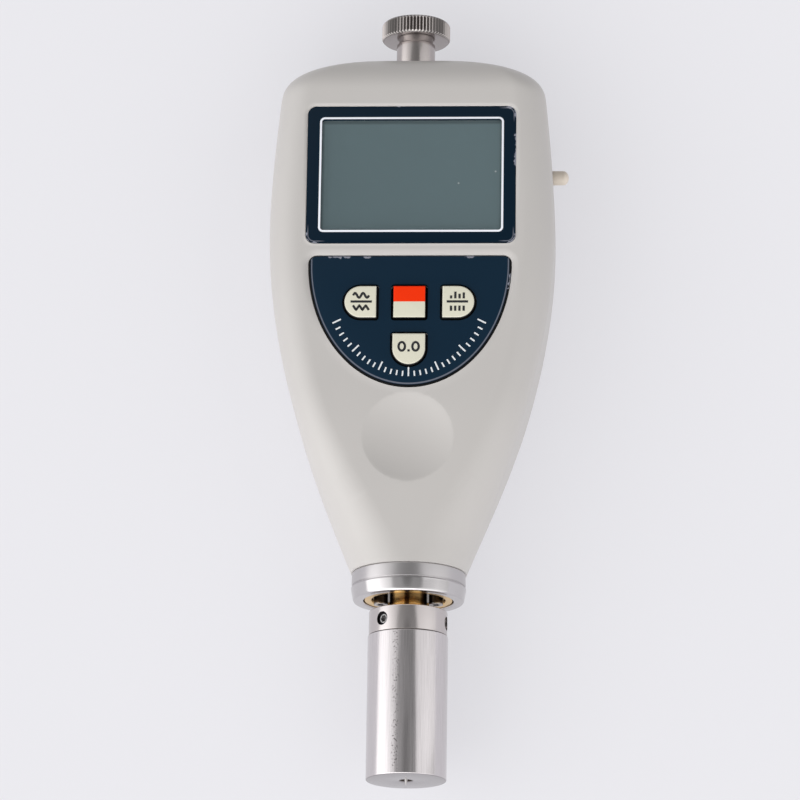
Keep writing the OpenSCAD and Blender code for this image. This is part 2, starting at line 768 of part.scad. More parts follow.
// Clamp ring with its set screws, and the probe body on its spigot
module set_screw_places() {
    for (i = [0:2]) translate([0, (clamp_low + clamp_top) / 2, axis_z])
        rotate([0, i * 120 - set_screw_turn, 0]) children();
}
module clamp_ring() {
    r = clamp_d / 2;
    edge = 0.8;
    color(steel) difference() {
        on_axis() difference() {
            union() {
                rotate_extrude($fn = 96) {
                    polygon([[0, clamp_low], [r - 0.2, clamp_low], [r, clamp_low + 0.2],
                        [r, clamp_top - edge], [r - edge, clamp_top], [0, clamp_top]]);
                    translate([r - edge, clamp_top - edge]) circle(r = edge);
                }
                rod(clamp_low - clamp_spigot_len, clamp_low + eps, clamp_spigot_d);
            }
            rod(clamp_low - clamp_spigot_len - 1, clamp_top + 1, stem_d + 2 * seat_fit);
        }
        set_screw_places() cylinder(d = set_screw_d + 2 * seat_fit, h = clamp_d);
    }
}
module set_screws() {
    inner = stem_d / 2 + seat_fit;
    outer = clamp_d / 2 - 0.6;
    color(silver) set_screw_places() difference() {
        translate([0, 0, inner]) cylinder(d = set_screw_d, h = outer - inner);
        hex_socket(outer - 1.4, set_screw_d / 2, 2);
    }
}
module probe_body() {
    r = probe_d / 2;
    edge = 0.35;
    sink = (countersink_d - needle_d) / 2;
    color(steel) on_axis() difference() {
        rotate_extrude($fn = 96) polygon([[0, probe_low], [r - edge, probe_low], [r, probe_low + edge],
            [r, clamp_low - 0.2], [r - 0.2, clamp_low], [0, clamp_low]]);
        rod(clamp_low - clamp_spigot_len - 0.1, clamp_low + 1, clamp_spigot_d + 2 * seat_fit);
        rod(probe_low + foot_wall, clamp_low, bush_d + 2 * seat_fit);
        rod(probe_low - 1, clamp_low, needle_d + 2 * run_fit);
        translate([0, 0, probe_low - eps])
            cylinder(d1 = countersink_d, d2 = needle_d + 2 * run_fit, h = sink);
    }
}

// Needle, spindle and guides
module needle_tip() {
    point_len = 2.2;
    tip = probe_low - needle_out;
    color(steel) on_axis() {
        rod(tip + point_len - eps, spindle_low, needle_d);
        translate([0, 0, tip]) cylinder(d1 = 0.08, d2 = needle_d, h = point_len);
    }
}
module spindle() {
    color(steel) on_axis() {
        rod(spindle_low, spindle_top, spindle_d);
        rod(spindle_top - spindle_head_t, spindle_top, spindle_head_d);
    }
}
module front_bush() {
    low = probe_low + foot_wall + 4;
    color(brass) on_axis() tube(low, low + 8, bush_d, spindle_d + 2 * run_fit);
}
module rear_bush() {
    low = clamp_top - 3;
    color(brass) on_axis() tube(low, low + 6, stem_bore - 2 * seat_fit, spindle_d + 2 * run_fit);
}

// Sensor in the neck: tube, former with two coils, core on the spindle, spring and end plug
flange_t = 1.4;
former_mid = (former_low + former_top) / 2;
module sensor_tube() {
    color(silver) on_axis() tube(sensor_low, sensor_top, sensor_d, sensor_bore);
}
module coil_former() {
    color(dark) on_axis() difference() {
        union() {
            rod(former_low, former_top, former_bore + 1.6);
            for (y = [former_low, former_mid - flange_t / 2, former_top - flange_t])
                rod(y, y + flange_t, sensor_bore - 2 * seat_fit);
        }
        rod(former_low - 1, former_top + 1, former_bore);
    }
}
module coil_winding() {
    gap = 0.1;
    color(copper) on_axis() {
        tube(former_low + flange_t, former_mid - flange_t / 2, sensor_bore - 1, former_bore + 1.6 + gap);
        tube(former_mid + flange_t / 2, former_top - flange_t, sensor_bore - 1, former_bore + 1.6 + gap);
    }
}
module sensor_core() {
    color(dark) on_axis() tube(former_mid - core_len / 2, former_mid + core_len / 2, core_d,
        spindle_d + 2 * seat_fit);
}

// Return spring: a round wire carried along a helix
spring_turns = 4;
spring_wire = 0.5;
spring_r = 1.9;
module return_spring() {
    low = spindle_top + spring_wire / 2 + seat_fit;
    high = sensor_top - plug_len - spring_wire / 2 - seat_fit;
    steps = 14;
    sides = 6;
    total = spring_turns * steps;
    points = [for (i = [0:total], k = [0:sides - 1])
        let (a = 360 * i / steps, b = 360 * k / sides, r = spring_r + spring_wire / 2 * cos(b))
        [r * cos(a), r * sin(a), low + (high - low) * i / total + spring_wire / 2 * sin(b)]];
    faces = concat(
        [for (i = [0:total - 1], k = [0:sides - 1]) let (m = (k + 1) % sides) each
            [[i * sides + k, i * sides + m, (i + 1) * sides + m],
             [i * sides + k, (i + 1) * sides + m, (i + 1) * sides + k]]],
        [[for (k = [sides - 1:-1:0]) k]],
        [[for (k = [0:sides - 1]) total * sides + k]]);
    color(steel) on_axis() polyhedron(points = points, faces = faces);
}
module tube_plug() {
    color(silver) on_axis() rod(sensor_top - plug_len, sensor_top, sensor_bore - 2 * seat_fit);
}

front_shell();
rear_shell();
battery_door();
housing_screws();
display_window();
display_panel();
display_holder();
keypad_plate();
unit_key();
power_key();
average_key();
zero_key();
main_board();
controller_chip();
key_switches();
board_screws();
battery_cells();
spring_contacts();
plain_contacts();
data_jack();
dust_plug();
thumb_screw();
screw_insert();
collar();
collar_nut();
brass_ring();
base_plate();
base_screws();
brass_stem();
clamp_ring();
set_screws();
probe_body();
needle_tip();
spindle();
front_bush();
rear_bush();
sensor_tube();
coil_former();
coil_winding();
sensor_core();
return_spring();
tube_plug();
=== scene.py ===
# %% [markdown]
# # A hand-held surface profile gauge
#
# The gauge lies on its back: a pale moulded housing with a display and four keys, a knurled thumb screw at
# the top end, and below the neck a turned collar, a brass stem and a steel foot with a needle in it.
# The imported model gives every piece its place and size. This lesson dresses it: new surfaces are worked out
# with numpy from the same forms as the solids, and every surface gets a finish made of shader nodes.

# %% Load the frame
import math

import bmesh
import bpy
import numpy as np
from mathutils import Matrix, Vector


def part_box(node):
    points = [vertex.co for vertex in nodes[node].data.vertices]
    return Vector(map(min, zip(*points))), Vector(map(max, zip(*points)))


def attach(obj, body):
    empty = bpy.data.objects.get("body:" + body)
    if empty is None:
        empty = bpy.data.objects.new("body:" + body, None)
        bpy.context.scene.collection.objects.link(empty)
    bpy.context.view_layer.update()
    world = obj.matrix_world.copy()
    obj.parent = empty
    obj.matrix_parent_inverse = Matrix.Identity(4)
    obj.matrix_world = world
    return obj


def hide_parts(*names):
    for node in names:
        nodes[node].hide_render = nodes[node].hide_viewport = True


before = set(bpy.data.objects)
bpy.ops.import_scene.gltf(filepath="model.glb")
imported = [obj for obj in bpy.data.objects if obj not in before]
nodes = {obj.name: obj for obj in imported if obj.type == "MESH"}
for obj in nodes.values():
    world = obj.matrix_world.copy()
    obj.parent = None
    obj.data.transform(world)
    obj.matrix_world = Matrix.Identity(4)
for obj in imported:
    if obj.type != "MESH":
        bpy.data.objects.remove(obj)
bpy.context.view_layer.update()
MM = 0.001

# %% [markdown]
# ## Places along the gauge
#
# Lengths in this file are in millimetres and become metres only when a mesh is made. Places are read from
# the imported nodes, so that a new surface lands exactly where its solid is. Only the curves of the moulding
# are repeated here as numbers, because a box can't tell how a flank bends.

# %% Read places from the nodes
def span(node):
    """Lowest and highest corner of a node, in millimetres."""
    low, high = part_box(node)
    return np.array(low) / MM, np.array(high) / MM


shell_low, shell_high = span("front_shell")
Y_NECK, Y_TOP_FACE = shell_low[1], shell_high[1]
Z_MID, Z_FRONT = shell_low[2], shell_high[2]
BELLY_HALF = shell_high[0]
AXIS_Z = Z_MID
collar_low, collar_high = span("collar")
clamp_low, clamp_high = span("clamp_ring")
probe_low, probe_high = span("probe_body")
knob_low, knob_high = span("thumb_screw")
window_low, window_high = span("display_window")
pad_low, pad_high = span("keypad_plate")
print("housing from y", round(Y_NECK, 2), "to", round(Y_TOP_FACE, 2), "mm; foot ends at", round(probe_low[1], 2))

# %% [markdown]
# ## Camera
#
# The photograph looks down on the gauge from about 74 degrees above the bench, from the foot's side and a
# little from the right, with a long lens. The camera is level with the gauge's X axis, so that edges across
# the housing run level in the picture while edges along it lean slightly.

# %% Camera
CAMERA_AT = Vector((51.4, -304.9, 1024.0))
CAMERA_AIM = Vector((-1.8, -23.25, 28.0))
LENS = 208.1


def add_object(name, data):
    """A new object in the scene, at the origin."""
    item = bpy.data.objects.new(name, data)
    bpy.context.scene.collection.objects.link(item)
    return item


def level_view(at, aim):
    """Camera matrix that looks from one point to another with world X level in the picture."""
    ahead = (aim - at).normalized()
    right = (Vector((1, 0, 0)) - ahead * ahead.x).normalized()
    turn = Matrix((right, right.cross(ahead), -ahead)).transposed()
    return Matrix.Translation(at * MM) @ turn.to_4x4()


camera_data = bpy.data.cameras.new("camera")
camera_data.lens = LENS
camera_data.sensor_width = 36.0
camera_data.clip_end = 20.0
camera = add_object("camera", camera_data)
camera.matrix_world = level_view(CAMERA_AT, CAMERA_AIM)
bpy.context.scene.camera = camera
print("camera at", tuple(CAMERA_AT), "mm, lens", LENS, "mm")

# %% [markdown]
# ## Node trees as formulas
#
# Light and finishes are node trees. A Value stands for one output of a node, and sums with values add maths
# nodes, so a tree is written as its formula. A mask is 0 or 1, with a short ramp between.

# %% Values in a node tree
class Value:
    """An output in a node tree. In a sum it comes first, and numbers or other values come after it."""

    def __init__(self, tree, socket):
        self.tree, self.socket = tree, socket

    def maths(self, operation, *terms):
        """A maths node of this value and further terms."""
        return add_node(self.tree, "ShaderNodeMath", enumerate((self, *terms)), operation=operation)

    def vector(self, operation, *terms, out=0):
        """A vector maths node of this vector and further terms."""
        return add_node(self.tree, "ShaderNodeVectorMath", enumerate((self, *terms)), out, operation=operation)

    def __add__(self, other):
        return self.maths("ADD", other)

    def __sub__(self, other):
        return self.maths("SUBTRACT", other)

    def __mul__(self, other):
        return self.maths("MULTIPLY", other)

    def __truediv__(self, other):
        return self.maths("DIVIDE", other)

    def __abs__(self):
        return self.maths("ABSOLUTE")

    def __or__(self, other):
        """The greater of two: for masks, where either holds."""
        return self.maths("MAXIMUM", other)

    def step(self, low, high):
        """0 on the side of low and 1 on the side of high, with a straight ramp between."""
        return add_node(self.tree, "ShaderNodeMapRange", [("Value", self), ("From Min", low), ("From Max", high)])

    def mix(self, a, b):
        """Colour a where this mask is 0 and colour b where it is 1."""
        return add_node(self.tree, "ShaderNodeMix", [(0, self), (6, a), (7, b)], 2, data_type="RGBA")


def feed(socket, source):
    """A value is linked to the socket and a constant is set on it; a colour of three numbers is opaque."""
    if isinstance(source, Value):
        source.tree.links.new(source.socket, socket)
    elif socket.type == "RGBA":
        socket.default_value = (*source[:3], 1)
    else:
        socket.default_value = source


def add_node(tree, kind, feeds=(), out=0, **settings):
    """A new node with its settings, and its sockets fed by name or number; returns one output as a value."""
    node = tree.nodes.new(kind)
    for key, setting in settings.items():
        setattr(node, key, setting)
    for socket, source in feeds:
        feed(node.inputs[socket], source)
    return Value(tree, node.outputs[out])


def object_point(tree):
    """The shaded point in millimetres of the object's own space."""
    metres = add_node(tree, "ShaderNodeTexCoord", out="Object")
    return add_node(tree, "ShaderNodeVectorMath", [(0, metres), ("Scale", 1 / MM)], operation="SCALE")


def parts_of(vector):
    """The x, y and z of a vector as values."""
    split = add_node(vector.tree, "ShaderNodeSeparateXYZ", [(0, vector)]).socket.node
    return [Value(vector.tree, part) for part in split.outputs]


def object_xyz(tree):
    """The x, y and z of the shaded point."""
    return parts_of(object_point(tree))


def hypot(a, b):
    """Root of a squared plus b squared."""
    return (a * a + b * b).maths("SQRT")


def off_axis(x, z):
    """Distance from the gauge's long axis."""
    return hypot(x, z - AXIS_Z)


def noise(place, scale, detail, roughness=0.5, socket="Vector", **settings):
    """A noise texture's value at a place."""
    feeds = [(socket, place), ("Scale", scale), ("Detail", detail), ("Roughness", roughness)]
    return add_node(place.tree, "ShaderNodeTexNoise", feeds, **settings)


def bump(height, strength, distance, *normal):
    """A normal bent by a height; distance is the height of 1 in metres."""
    feeds = [("Height", height), ("Strength", strength), ("Distance", distance), *[("Normal", n) for n in normal]]
    return add_node(height.tree, "ShaderNodeBump", feeds)

# %% [markdown]
# ## Floor and light
#
# A pale sheet, lit a little from below, fills the picture. The shadows are soft, and the steel foot shows a
# bright band on either side with a dull band between them: that is the light of a cloth tent with a dark
# opening at the top. So the sky stands for the tent. Its brightness depends on direction only: it rises from
# the horizon, falls off towards the opening, and is stronger on the left and most of all on the foot's side.
# A soft box on the right draws the second band on the steel, and one beyond the foot brightens the near floor.

# %% Stage
FLOOR_SIZE = 6.0
FLOOR_COLOR = (0.345, 0.343, 0.358)
FLOOR_GLOW = 0.46
TENT_STEPS = ((0.0, 0.90), (0.20, 1.0), (0.45, 1.0), (0.70, 0.74), (0.83, 0.60), (0.88, 0.29),
              (0.975, 0.28), (0.99, 0.17), (1.0, 0.15))
TENT_POWER = 1.45
TENT_LEAN = (-0.40, -0.78, 0.0)
TENT_LEAST = 0.05


def make_floor():
    """A square of one face, level with the lowest point of the gauge."""
    half = FLOOR_SIZE / 2
    mesh = bpy.data.meshes.new("floor")
    corners = [(-half, -half, 0), (half, -half, 0), (half, half, 0), (-half, half, 0)]
    mesh.from_pydata(corners, [], [(0, 1, 2, 3)])
    floor = add_object("floor", mesh)
    material = bpy.data.materials.new("paper_floor")
    material.use_nodes = True
    shader = material.node_tree.nodes["Principled BSDF"].inputs
    feed(shader["Base Color"], FLOOR_COLOR)
    feed(shader["Emission Color"], FLOOR_COLOR)
    feed(shader["Emission Strength"], FLOOR_GLOW / FLOOR_COLOR[0])
    feed(shader["Roughness"], 0.9)
    feed(shader["Specular IOR Level"], 0.1)
    mesh.materials.append(material)


def make_tent():
    """World light by direction d: a ramp of d.z, times power (1 + lean . d), which never falls below a least."""
    world = bpy.data.worlds.new("tent")
    world.use_nodes = True
    bpy.context.scene.world = world
    tree = world.node_tree
    direction = add_node(tree, "ShaderNodeTexCoord", out="Generated")
    ramp = add_node(tree, "ShaderNodeValToRGB", [(0, parts_of(direction)[2])])
    steps = ramp.socket.node.color_ramp.elements
    for place, _ in TENT_STEPS[1:-1]:
        steps.new(place)
    for step_at, (place, tone) in zip(steps, TENT_STEPS):
        step_at.position = place
        step_at.color = (tone, tone, tone, 1)
    lean = direction.vector("DOT_PRODUCT", TENT_LEAN, out="Value")
    sky = tree.nodes["Background"].inputs
    feed(sky["Color"], ramp)
    feed(sky["Strength"], lean * TENT_POWER + TENT_POWER | TENT_LEAST)


def soft_box(name, at, toward, size, watts):
    """A rectangular lamp at a point, facing another point, all in metres."""
    lamp = bpy.data.lights.new(name, "AREA")
    lamp.shape = "RECTANGLE"
    lamp.size, lamp.size_y = size
    lamp.energy = watts
    turn = (Vector(toward) - Vector(at)).to_track_quat("-Z", "Y").to_matrix().to_4x4()
    add_object(name, lamp).matrix_world = Matrix.Translation(at) @ turn


make_floor()
make_tent()
OBJECT_MIDDLE = (0, -0.05, 0.02)
soft_box("box_right", (0.80, 0.25, 0.50), OBJECT_MIDDLE, (0.62, 1.20), 1.1)
soft_box("box_foot", (-0.15, -0.70, 0.45), (0, -0.10, 0), (0.70, 0.40), 0.7)
bpy.context.scene.view_settings.view_transform = "Standard"
print("stage: floor, tent and two soft boxes")

# %% [markdown]
# ## From arrays to meshes
#
# Every new piece is a set of grids: rows of points whose neighbours are joined by four-sided faces. The
# helpers below number the faces of a grid, join several grids into one mesh, close what meets, and turn all
# faces outwards. Edges sharper than a set angle stay crisp and the rest is shaded smooth.

# %% Mesh helpers
CRISP = 35.0
BEVEL_ANGLE, FLAT_ANGLE = 40.0, 0.06


def grid_faces(rows, cols, first=0, wrap=False):
    """Corner numbers of all quads of a rows by cols grid; wrap joins the last column to the first."""
    last = cols if wrap else cols - 1
    i, j = np.meshgrid(np.arange(rows - 1), np.arange(last), indexing="ij")
    k = (j + 1) % cols
    quads = np.stack([i * cols + j, i * cols + k, (i + 1) * cols + k, (i + 1) * cols + j], axis=-1)
    return (quads.reshape(-1, 4) + first).tolist()


def join_grids(*grids):
    """Points and faces of several (rows, cols, 3) grids, numbered one after another."""
    points, faces, first = [], [], 0
    for grid in grids:
        rows, cols = grid.shape[:2]
        points.append(grid.reshape(-1, 3))
        faces += grid_faces(rows, cols, first)
        first += rows * cols
    return np.concatenate(points), faces


def add_piece(name, points, faces, crisp=CRISP):
    """An object at the origin from points in millimetres: doubles merged, faces outwards, smooth below crisp."""
    mesh = bpy.data.meshes.new(name)
    mesh.from_pydata((np.asarray(points) * MM).tolist(), [], faces)
    bm = bmesh.new()
    bm.from_mesh(mesh)
    bmesh.ops.remove_doubles(bm, verts=bm.verts, dist=2e-7)
    bmesh.ops.dissolve_degenerate(bm, edges=bm.edges, dist=1e-7)
    bmesh.ops.recalc_face_normals(bm, faces=bm.faces)
    bm.to_mesh(mesh)
    bm.free()
    shade(mesh, crisp)
    return add_object(name, mesh)


def shade(mesh, crisp=CRISP):
    """Smooth shading with edges sharper than crisp degrees kept."""
    mesh.shade_smooth()
    mesh.set_sharp_from_angle(angle=math.radians(crisp))


def stand_for(piece, body, finish, slot, *replaced):
    """The piece takes a finish, rides on a body and stands for the nodes named; slot is not used."""
    piece.data.materials.clear()
    piece.data.materials.append(finishes[finish])
    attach(piece, body)
    if replaced:
        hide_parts(*replaced)
    print(piece.name, "on", body, "-", len(piece.data.polygons), "faces")
    return piece


def apply_steps(piece):
    """The piece keeps the shape that its modifiers give it, and loses the modifiers."""
    bpy.context.view_layer.update()
    shape = bpy.data.meshes.new_from_object(piece.evaluated_get(bpy.context.evaluated_depsgraph_get()))
    piece.modifiers.clear()
    old, piece.data = piece.data, shape
    bpy.data.meshes.remove(old)
    return piece


def carve(piece, operation, *tools):
    """The piece with tool pieces cut away, added or intersected; the tools are removed."""
    for tool in tools:
        cut = piece.modifiers.new("carve", "BOOLEAN")
        cut.operation = operation
        cut.solver = "EXACT"
        cut.object = tool
        apply_steps(piece)
        bpy.data.objects.remove(tool)
    return piece


def soften(piece, width, segments=2):
    """Joins flat neighbours, rounds sharp edges with a narrow bevel, and shades large faces flat."""
    bm = bmesh.new()
    bm.from_mesh(piece.data)
    bmesh.ops.remove_doubles(bm, verts=bm.verts, dist=2e-6)
    bmesh.ops.dissolve_limit(bm, angle_limit=math.radians(FLAT_ANGLE), verts=bm.verts, edges=bm.edges)
    bm.to_mesh(piece.data)
    bm.free()
    bevel = piece.modifiers.new("soften", "BEVEL")
    bevel.width = width * MM
    bevel.segments = segments
    bevel.limit_method = "ANGLE"
    bevel.angle_limit = math.radians(BEVEL_ANGLE)
    apply_steps(piece)
    shade(piece.data)
    weigh = piece.modifiers.new("weigh", "WEIGHTED_NORMAL")
    weigh.keep_sharp = True
    return apply_steps(piece)


# %% Profiles and outlines
def rounded(corners, radius, steps=4):
    """A line of points with every inner corner replaced by a curve that starts radius before it."""
    corners = np.asarray(corners, float)
    out = [corners[0]]
    for before, corner, after in zip(corners[:-2], corners[1:-1], corners[2:]):
        to_before, to_after = before - corner, after - corner
        reach_a = min(radius, np.linalg.norm(to_before) * 0.45)
        reach_b = min(radius, np.linalg.norm(to_after) * 0.45)
        start = corner + to_before / np.linalg.norm(to_before) * reach_a
        end = corner + to_after / np.linalg.norm(to_after) * reach_b
        t = np.linspace(0, 1, steps + 1)[:, None]
        out.extend((1 - t) ** 2 * start + 2 * t * (1 - t) * corner + t ** 2 * end)
    out.append(corners[-1])
    return np.array(out)


def on_long_axis(aside, along, up):
    """A point given by its distances from the gauge's axis and its place along it."""
    return aside, along, AXIS_Z + up


def lathe(name, profile, around=128, crisp=CRISP, cut=None, place=on_long_axis):
    """A profile of (radius, place along) points turned through all angles a: aside = r sin a, up = r cos a.

    cut(r, along, a) may change the radius, and place says where the axis lies.
    """
    a = np.linspace(0, 2 * np.pi, around, endpoint=False)
    r, along = profile[:, 0, None] + 0 * a, profile[:, 1, None] + 0 * a
    if cut:
        r = cut(r, along, a)
    grid = np.stack(place(r * np.sin(a), along, r * np.cos(a)), axis=-1)
    return add_piece(name, grid.reshape(-1, 3), grid_faces(len(profile), around, wrap=True), crisp)


def prism(name, outline, levels):
    """Stacked copies of an outline, closed below and above: levels are (z, inset), outline(inset) gives x, y."""
    rings = [np.column_stack([outline(inset), np.full(len(outline(inset)), z)]) for z, inset in levels]
    count = len(rings[0])
    faces = grid_faces(len(rings), count, wrap=True)
    faces.append(list(range(count))[::-1])
    faces.append(list(range((len(rings) - 1) * count, len(rings) * count)))
    return add_piece(name, np.concatenate(rings), faces)


def arc(cx, cy, rx, ry, start, end, steps):
    """Points on an ellipse from one angle to another, in degrees."""
    a = np.radians(np.linspace(start, end, steps + 1))
    return np.column_stack([cx + rx * np.cos(a), cy + ry * np.sin(a)])


def box_outline(cx, cy, half_w, half_h, radius, steps=6):
    """Outline of a rounded rectangle, anticlockwise; inset moves every side in and the corners with it."""
    def at(inset):
        w, h, r = half_w - inset, half_h - inset, max(radius - inset, 0.02)
        corners = [(w - r, h - r, 0), (r - w, h - r, 90), (r - w, r - h, 180), (w - r, r - h, 270)]
        return np.concatenate([arc(cx + x, cy + y, r, r, a, a + 90, steps) for x, y, a in corners])
    return at

# %% [markdown]
# ## The form of the housing
#
# The moulding is described by four curves along its length: half width, front level, back level and the
# radius of its edges. Between them a section is built at every place along Y: up the side, round the edge,
# across the face and down again. The same curves with the wall taken off give the inner skin.

# %% Curves of the housing
HOUSING = dict(y_neck=Y_NECK, y_top=-Y_NECK, neck_r=13.0, flare=0.42, belly_y=18.0, shoulder_half=30.5,
               crown_len=10.8, power=2.7, slope=-0.1, front_r=7.5, back_r=7.0, roll_front=9.0, roll_back=7.0,
               back_trim=0.2, blend=40.0, wall=2.4, end_wall=3.2)


def smooth_step(a, b, y):
    """0 below a, 1 above b and an S curve between."""
    t = np.clip((y - a) / (b - a), 0, 1)
    return t * t * (3 - 2 * t)


def hermite(t, a, b, slope_a, slope_b):
    """Cubic from a to b that leaves and arrives with the slopes given."""
    return ((2 * t**3 - 3 * t**2 + 1) * a + (t**3 - 2 * t**2 + t) * slope_a
            + (3 * t**2 - 2 * t**3) * b + (t**3 - t**2) * slope_b)


def half_width(y):
    """Flank from the neck to the belly, gentle taper to the shoulder, then a superellipse round the corner."""
    h = HOUSING
    crown_at = h["y_top"] - h["crown_len"]
    run = h["belly_y"] - h["y_neck"]
    flank = hermite(np.clip((y - h["y_neck"]) / run, 0, 1), h["neck_r"], BELLY_HALF, h["flare"] * run, 0)
    run = crown_at - h["belly_y"]
    upper = hermite(np.clip((y - h["belly_y"]) / run, 0, 1), BELLY_HALF, h["shoulder_half"], 0, h["slope"] * run)
    d = np.clip((y - crown_at) / h["crown_len"], 0, 0.999)
    crown = (h["shoulder_half"] + h["slope"] * (y - crown_at)) * (1 - d ** h["power"]) ** (1 / h["power"])
    return np.where(y < h["belly_y"], flank, np.where(y < crown_at, upper, crown))


def roll_off(y, r):
    """Drop of a quarter circle of radius r that ends at the top face."""
    u = np.clip((y - HOUSING["y_top"] + r) / r, 0, 0.99)
    return r * (1 - np.sqrt(1 - u * u))


def level(y, side):
    """Height of the front (side 1) or of the back (side -1) above the parting plane."""
    h = HOUSING
    t = smooth_step(h["y_neck"], h["y_neck"] + h["blend"], y)
    full = (Z_FRONT - Z_MID) if side > 0 else Z_MID + h["back_trim"]
    return h["neck_r"] + (full - h["neck_r"]) * t - roll_off(y, h["roll_front"] if side > 0 else h["roll_back"])


def edge_radius(y, side):
    """Round at the neck, then the radius of the moulding's edge."""
    h = HOUSING
    t = smooth_step(h["y_neck"], h["y_neck"] + h["blend"], y)
    return h["neck_r"] + ((h["front_r"] if side > 0 else h["back_r"]) - h["neck_r"]) * t


def skin(y, side, inset, place, arc_steps=12, flat_steps=64):
    """Grid of one half: a row for each y, set down at place, columns from the left parting edge over the face."""
    y = y[:, None]
    w, h = half_width(y) - inset, level(y, side) - inset
    r = np.maximum(0.4, np.minimum(np.minimum(edge_radius(y, side) - inset, w - 0.3), h - 0.3))
    a = np.radians(np.linspace(0, 90, arc_steps + 1))
    t = np.linspace(-1, 1, flat_steps + 1)[1:-1]
    x = np.hstack([-w, -(w - r) - r * np.cos(a), (w - r) * t, (w - r) + r * np.sin(a), w])
    z = np.hstack([0 * w, h - r + r * np.sin(a), h + 0 * t, h - r + r * np.cos(a), 0 * w])
    return np.stack([x, np.broadcast_to(place[:, None], x.shape), Z_MID + side * z], axis=-1)


def rows_along(y_from, rows):
    """Places along Y for the rows of a skin: even up to the crown, then closer and closer round it."""
    h = HOUSING
    crown_at = h["y_top"] - h["crown_len"]
    turn = np.radians(np.linspace(0, 80, 28))
    return np.concatenate([np.linspace(y_from, crown_at, rows, endpoint=False),
                           crown_at + h["crown_len"] * np.sin(turn) ** (2 / h["power"])])


def half_shell(name, side, shape_outer, rows=160):
    """Outer skin, inner skin, parting rim and ends of one half, closed."""
    h = HOUSING
    y = rows_along(h["y_neck"], rows)
    inner_y = h["y_neck"] + h["end_wall"] + (y[-1] - y[0] - 2 * h["end_wall"]) * (y - y[0]) / (y[-1] - y[0])
    outer = shape_outer(skin(y, side, 0, y))
    inner = skin(inner_y, side, h["wall"], inner_y)
    rim_left = np.stack([outer[:, 0], inner[:, 0]], axis=1)
    rim_right = np.stack([outer[:, -1], inner[:, -1]], axis=1)
    points, faces = join_grids(outer, inner, rim_left, rim_right)
    cols, total = outer.shape[1], outer.shape[0] * outer.shape[1]
    for row in (0, outer.shape[0] - 1):
        first = row * cols
        faces.append([first + k for k in range(cols)])
        faces.append([total + first + k for k in range(cols)])
        faces.append([first, first + cols - 1, total + first + cols - 1, total + first])
    return add_piece(name, points, faces)

# %% [markdown]
# ## Finishes
#
# Each finish is a Principled material fed by small node groups. A group works in the object's own
# coordinates and gives back only masks, values, colours or a bumped normal, so the same grain, turning
# rings or edge chips can serve several materials.

# %% Groups and finishes
FLOAT, VECTOR = "NodeSocketFloat", "NodeSocketVector"
finishes = {}


def new_group(name, inputs, outputs):
    """An empty group from (label, type, default) and (label, type); with its inputs as values and output sockets."""
    group = bpy.data.node_groups.new(name, "ShaderNodeTree")
    for label, kind, default in inputs:
        group.interface.new_socket(label, in_out="INPUT", socket_type=kind).default_value = default
    for label, kind in outputs:
        group.interface.new_socket(label, in_out="OUTPUT", socket_type=kind)
    given = group.nodes.new("NodeGroupInput").outputs[:len(inputs)]
    return group, [Value(group, socket) for socket in given], group.nodes.new("NodeGroupOutput").inputs


def use_group(tree, group, **inputs):
    """A group node with inputs fed by name; returns its outputs as values by name."""
    node = tree.nodes.new("ShaderNodeGroup")
    node.node_tree = group
    for label, source in inputs.items():
        feed(node.inputs[label], source)
    return {output.name: Value(tree, output) for output in node.outputs}


def finish_base(name, color, roughness, metallic=0.0, specular=0.5):
    """A new Principled material, kept by name; returns its tree and the shader's sockets."""
    material = bpy.data.materials.new(name)
    material.use_nodes = True
    shader = material.node_tree.nodes["Principled BSDF"].inputs
    feed(shader["Base Color"], color)
    feed(shader["Roughness"], roughness)
    feed(shader["Metallic"], metallic)
    feed(shader["Specular IOR Level"], specular)
    finishes[name] = material
    return material.node_tree, shader


# %% Grain of moulded plastic
BROAD_TONE = 0.045


def make_grain():
    """Two noises, fine and broad: a bumped normal, and a slow tone between 0 and 1."""
    group, (size, strength), result = new_group("moulded_grain", [("Size", FLOAT, 3.0), ("Strength", FLOAT, 0.05)],
                                                [("Normal", VECTOR), ("Tone", FLOAT)])
    point = object_point(group)
    feed(result["Normal"], bump(noise(point, size, 2.0), strength, 0.1 * MM))
    feed(result["Tone"], noise(point, BROAD_TONE, 3.0))
    return group


GRAIN = make_grain()


def moulded(name, color, shade_color, roughness, size=3.0, strength=0.05):
    """Moulded plastic: slow change between two tones of one colour, and a fine grain."""
    tree, shader = finish_base(name, color, roughness)
    grain = use_group(tree, GRAIN, Size=size, Strength=strength)
    feed(shader["Base Color"], grain["Tone"].mix(shade_color, color))
    feed(shader["Normal"], grain["Normal"])


moulded("housing_plastic", (0.51, 0.49, 0.473), (0.48, 0.46, 0.445), 0.40, size=2.2, strength=0.06)
moulded("key_plastic", (0.67, 0.65, 0.53), (0.64, 0.62, 0.51), 0.45)
moulded("plug_plastic", (0.66, 0.585, 0.50), (0.62, 0.55, 0.47), 0.45)
moulded("dark_plastic", (0.02, 0.02, 0.022), (0.015, 0.015, 0.017), 0.5)
moulded("board", (0.02, 0.12, 0.05), (0.015, 0.09, 0.04), 0.4)
moulded("cell_jacket", (0.03, 0.03, 0.035), (0.02, 0.02, 0.025), 0.35)
PLASTICS = len(finishes)
print("plain plastics:", ", ".join(finishes))

# %% [markdown]
# ## Metals
#
# Turned pieces carry fine rings, which change only along the axis. The foot is polished and then rubbed, so
# it has faint scratches that run lengthwise: a noise that changes quickly round the axis and slowly along it.
# Stains then give a finish another colour in some places: dirt in a joint, a duller face, and painted shade in a
# recess, grooves, holes and on dark sides.

# %% Turning rings and rubbed scratches
SCRATCHES_ROUND, SCRATCHES_ALONG = 60.0, 0.10


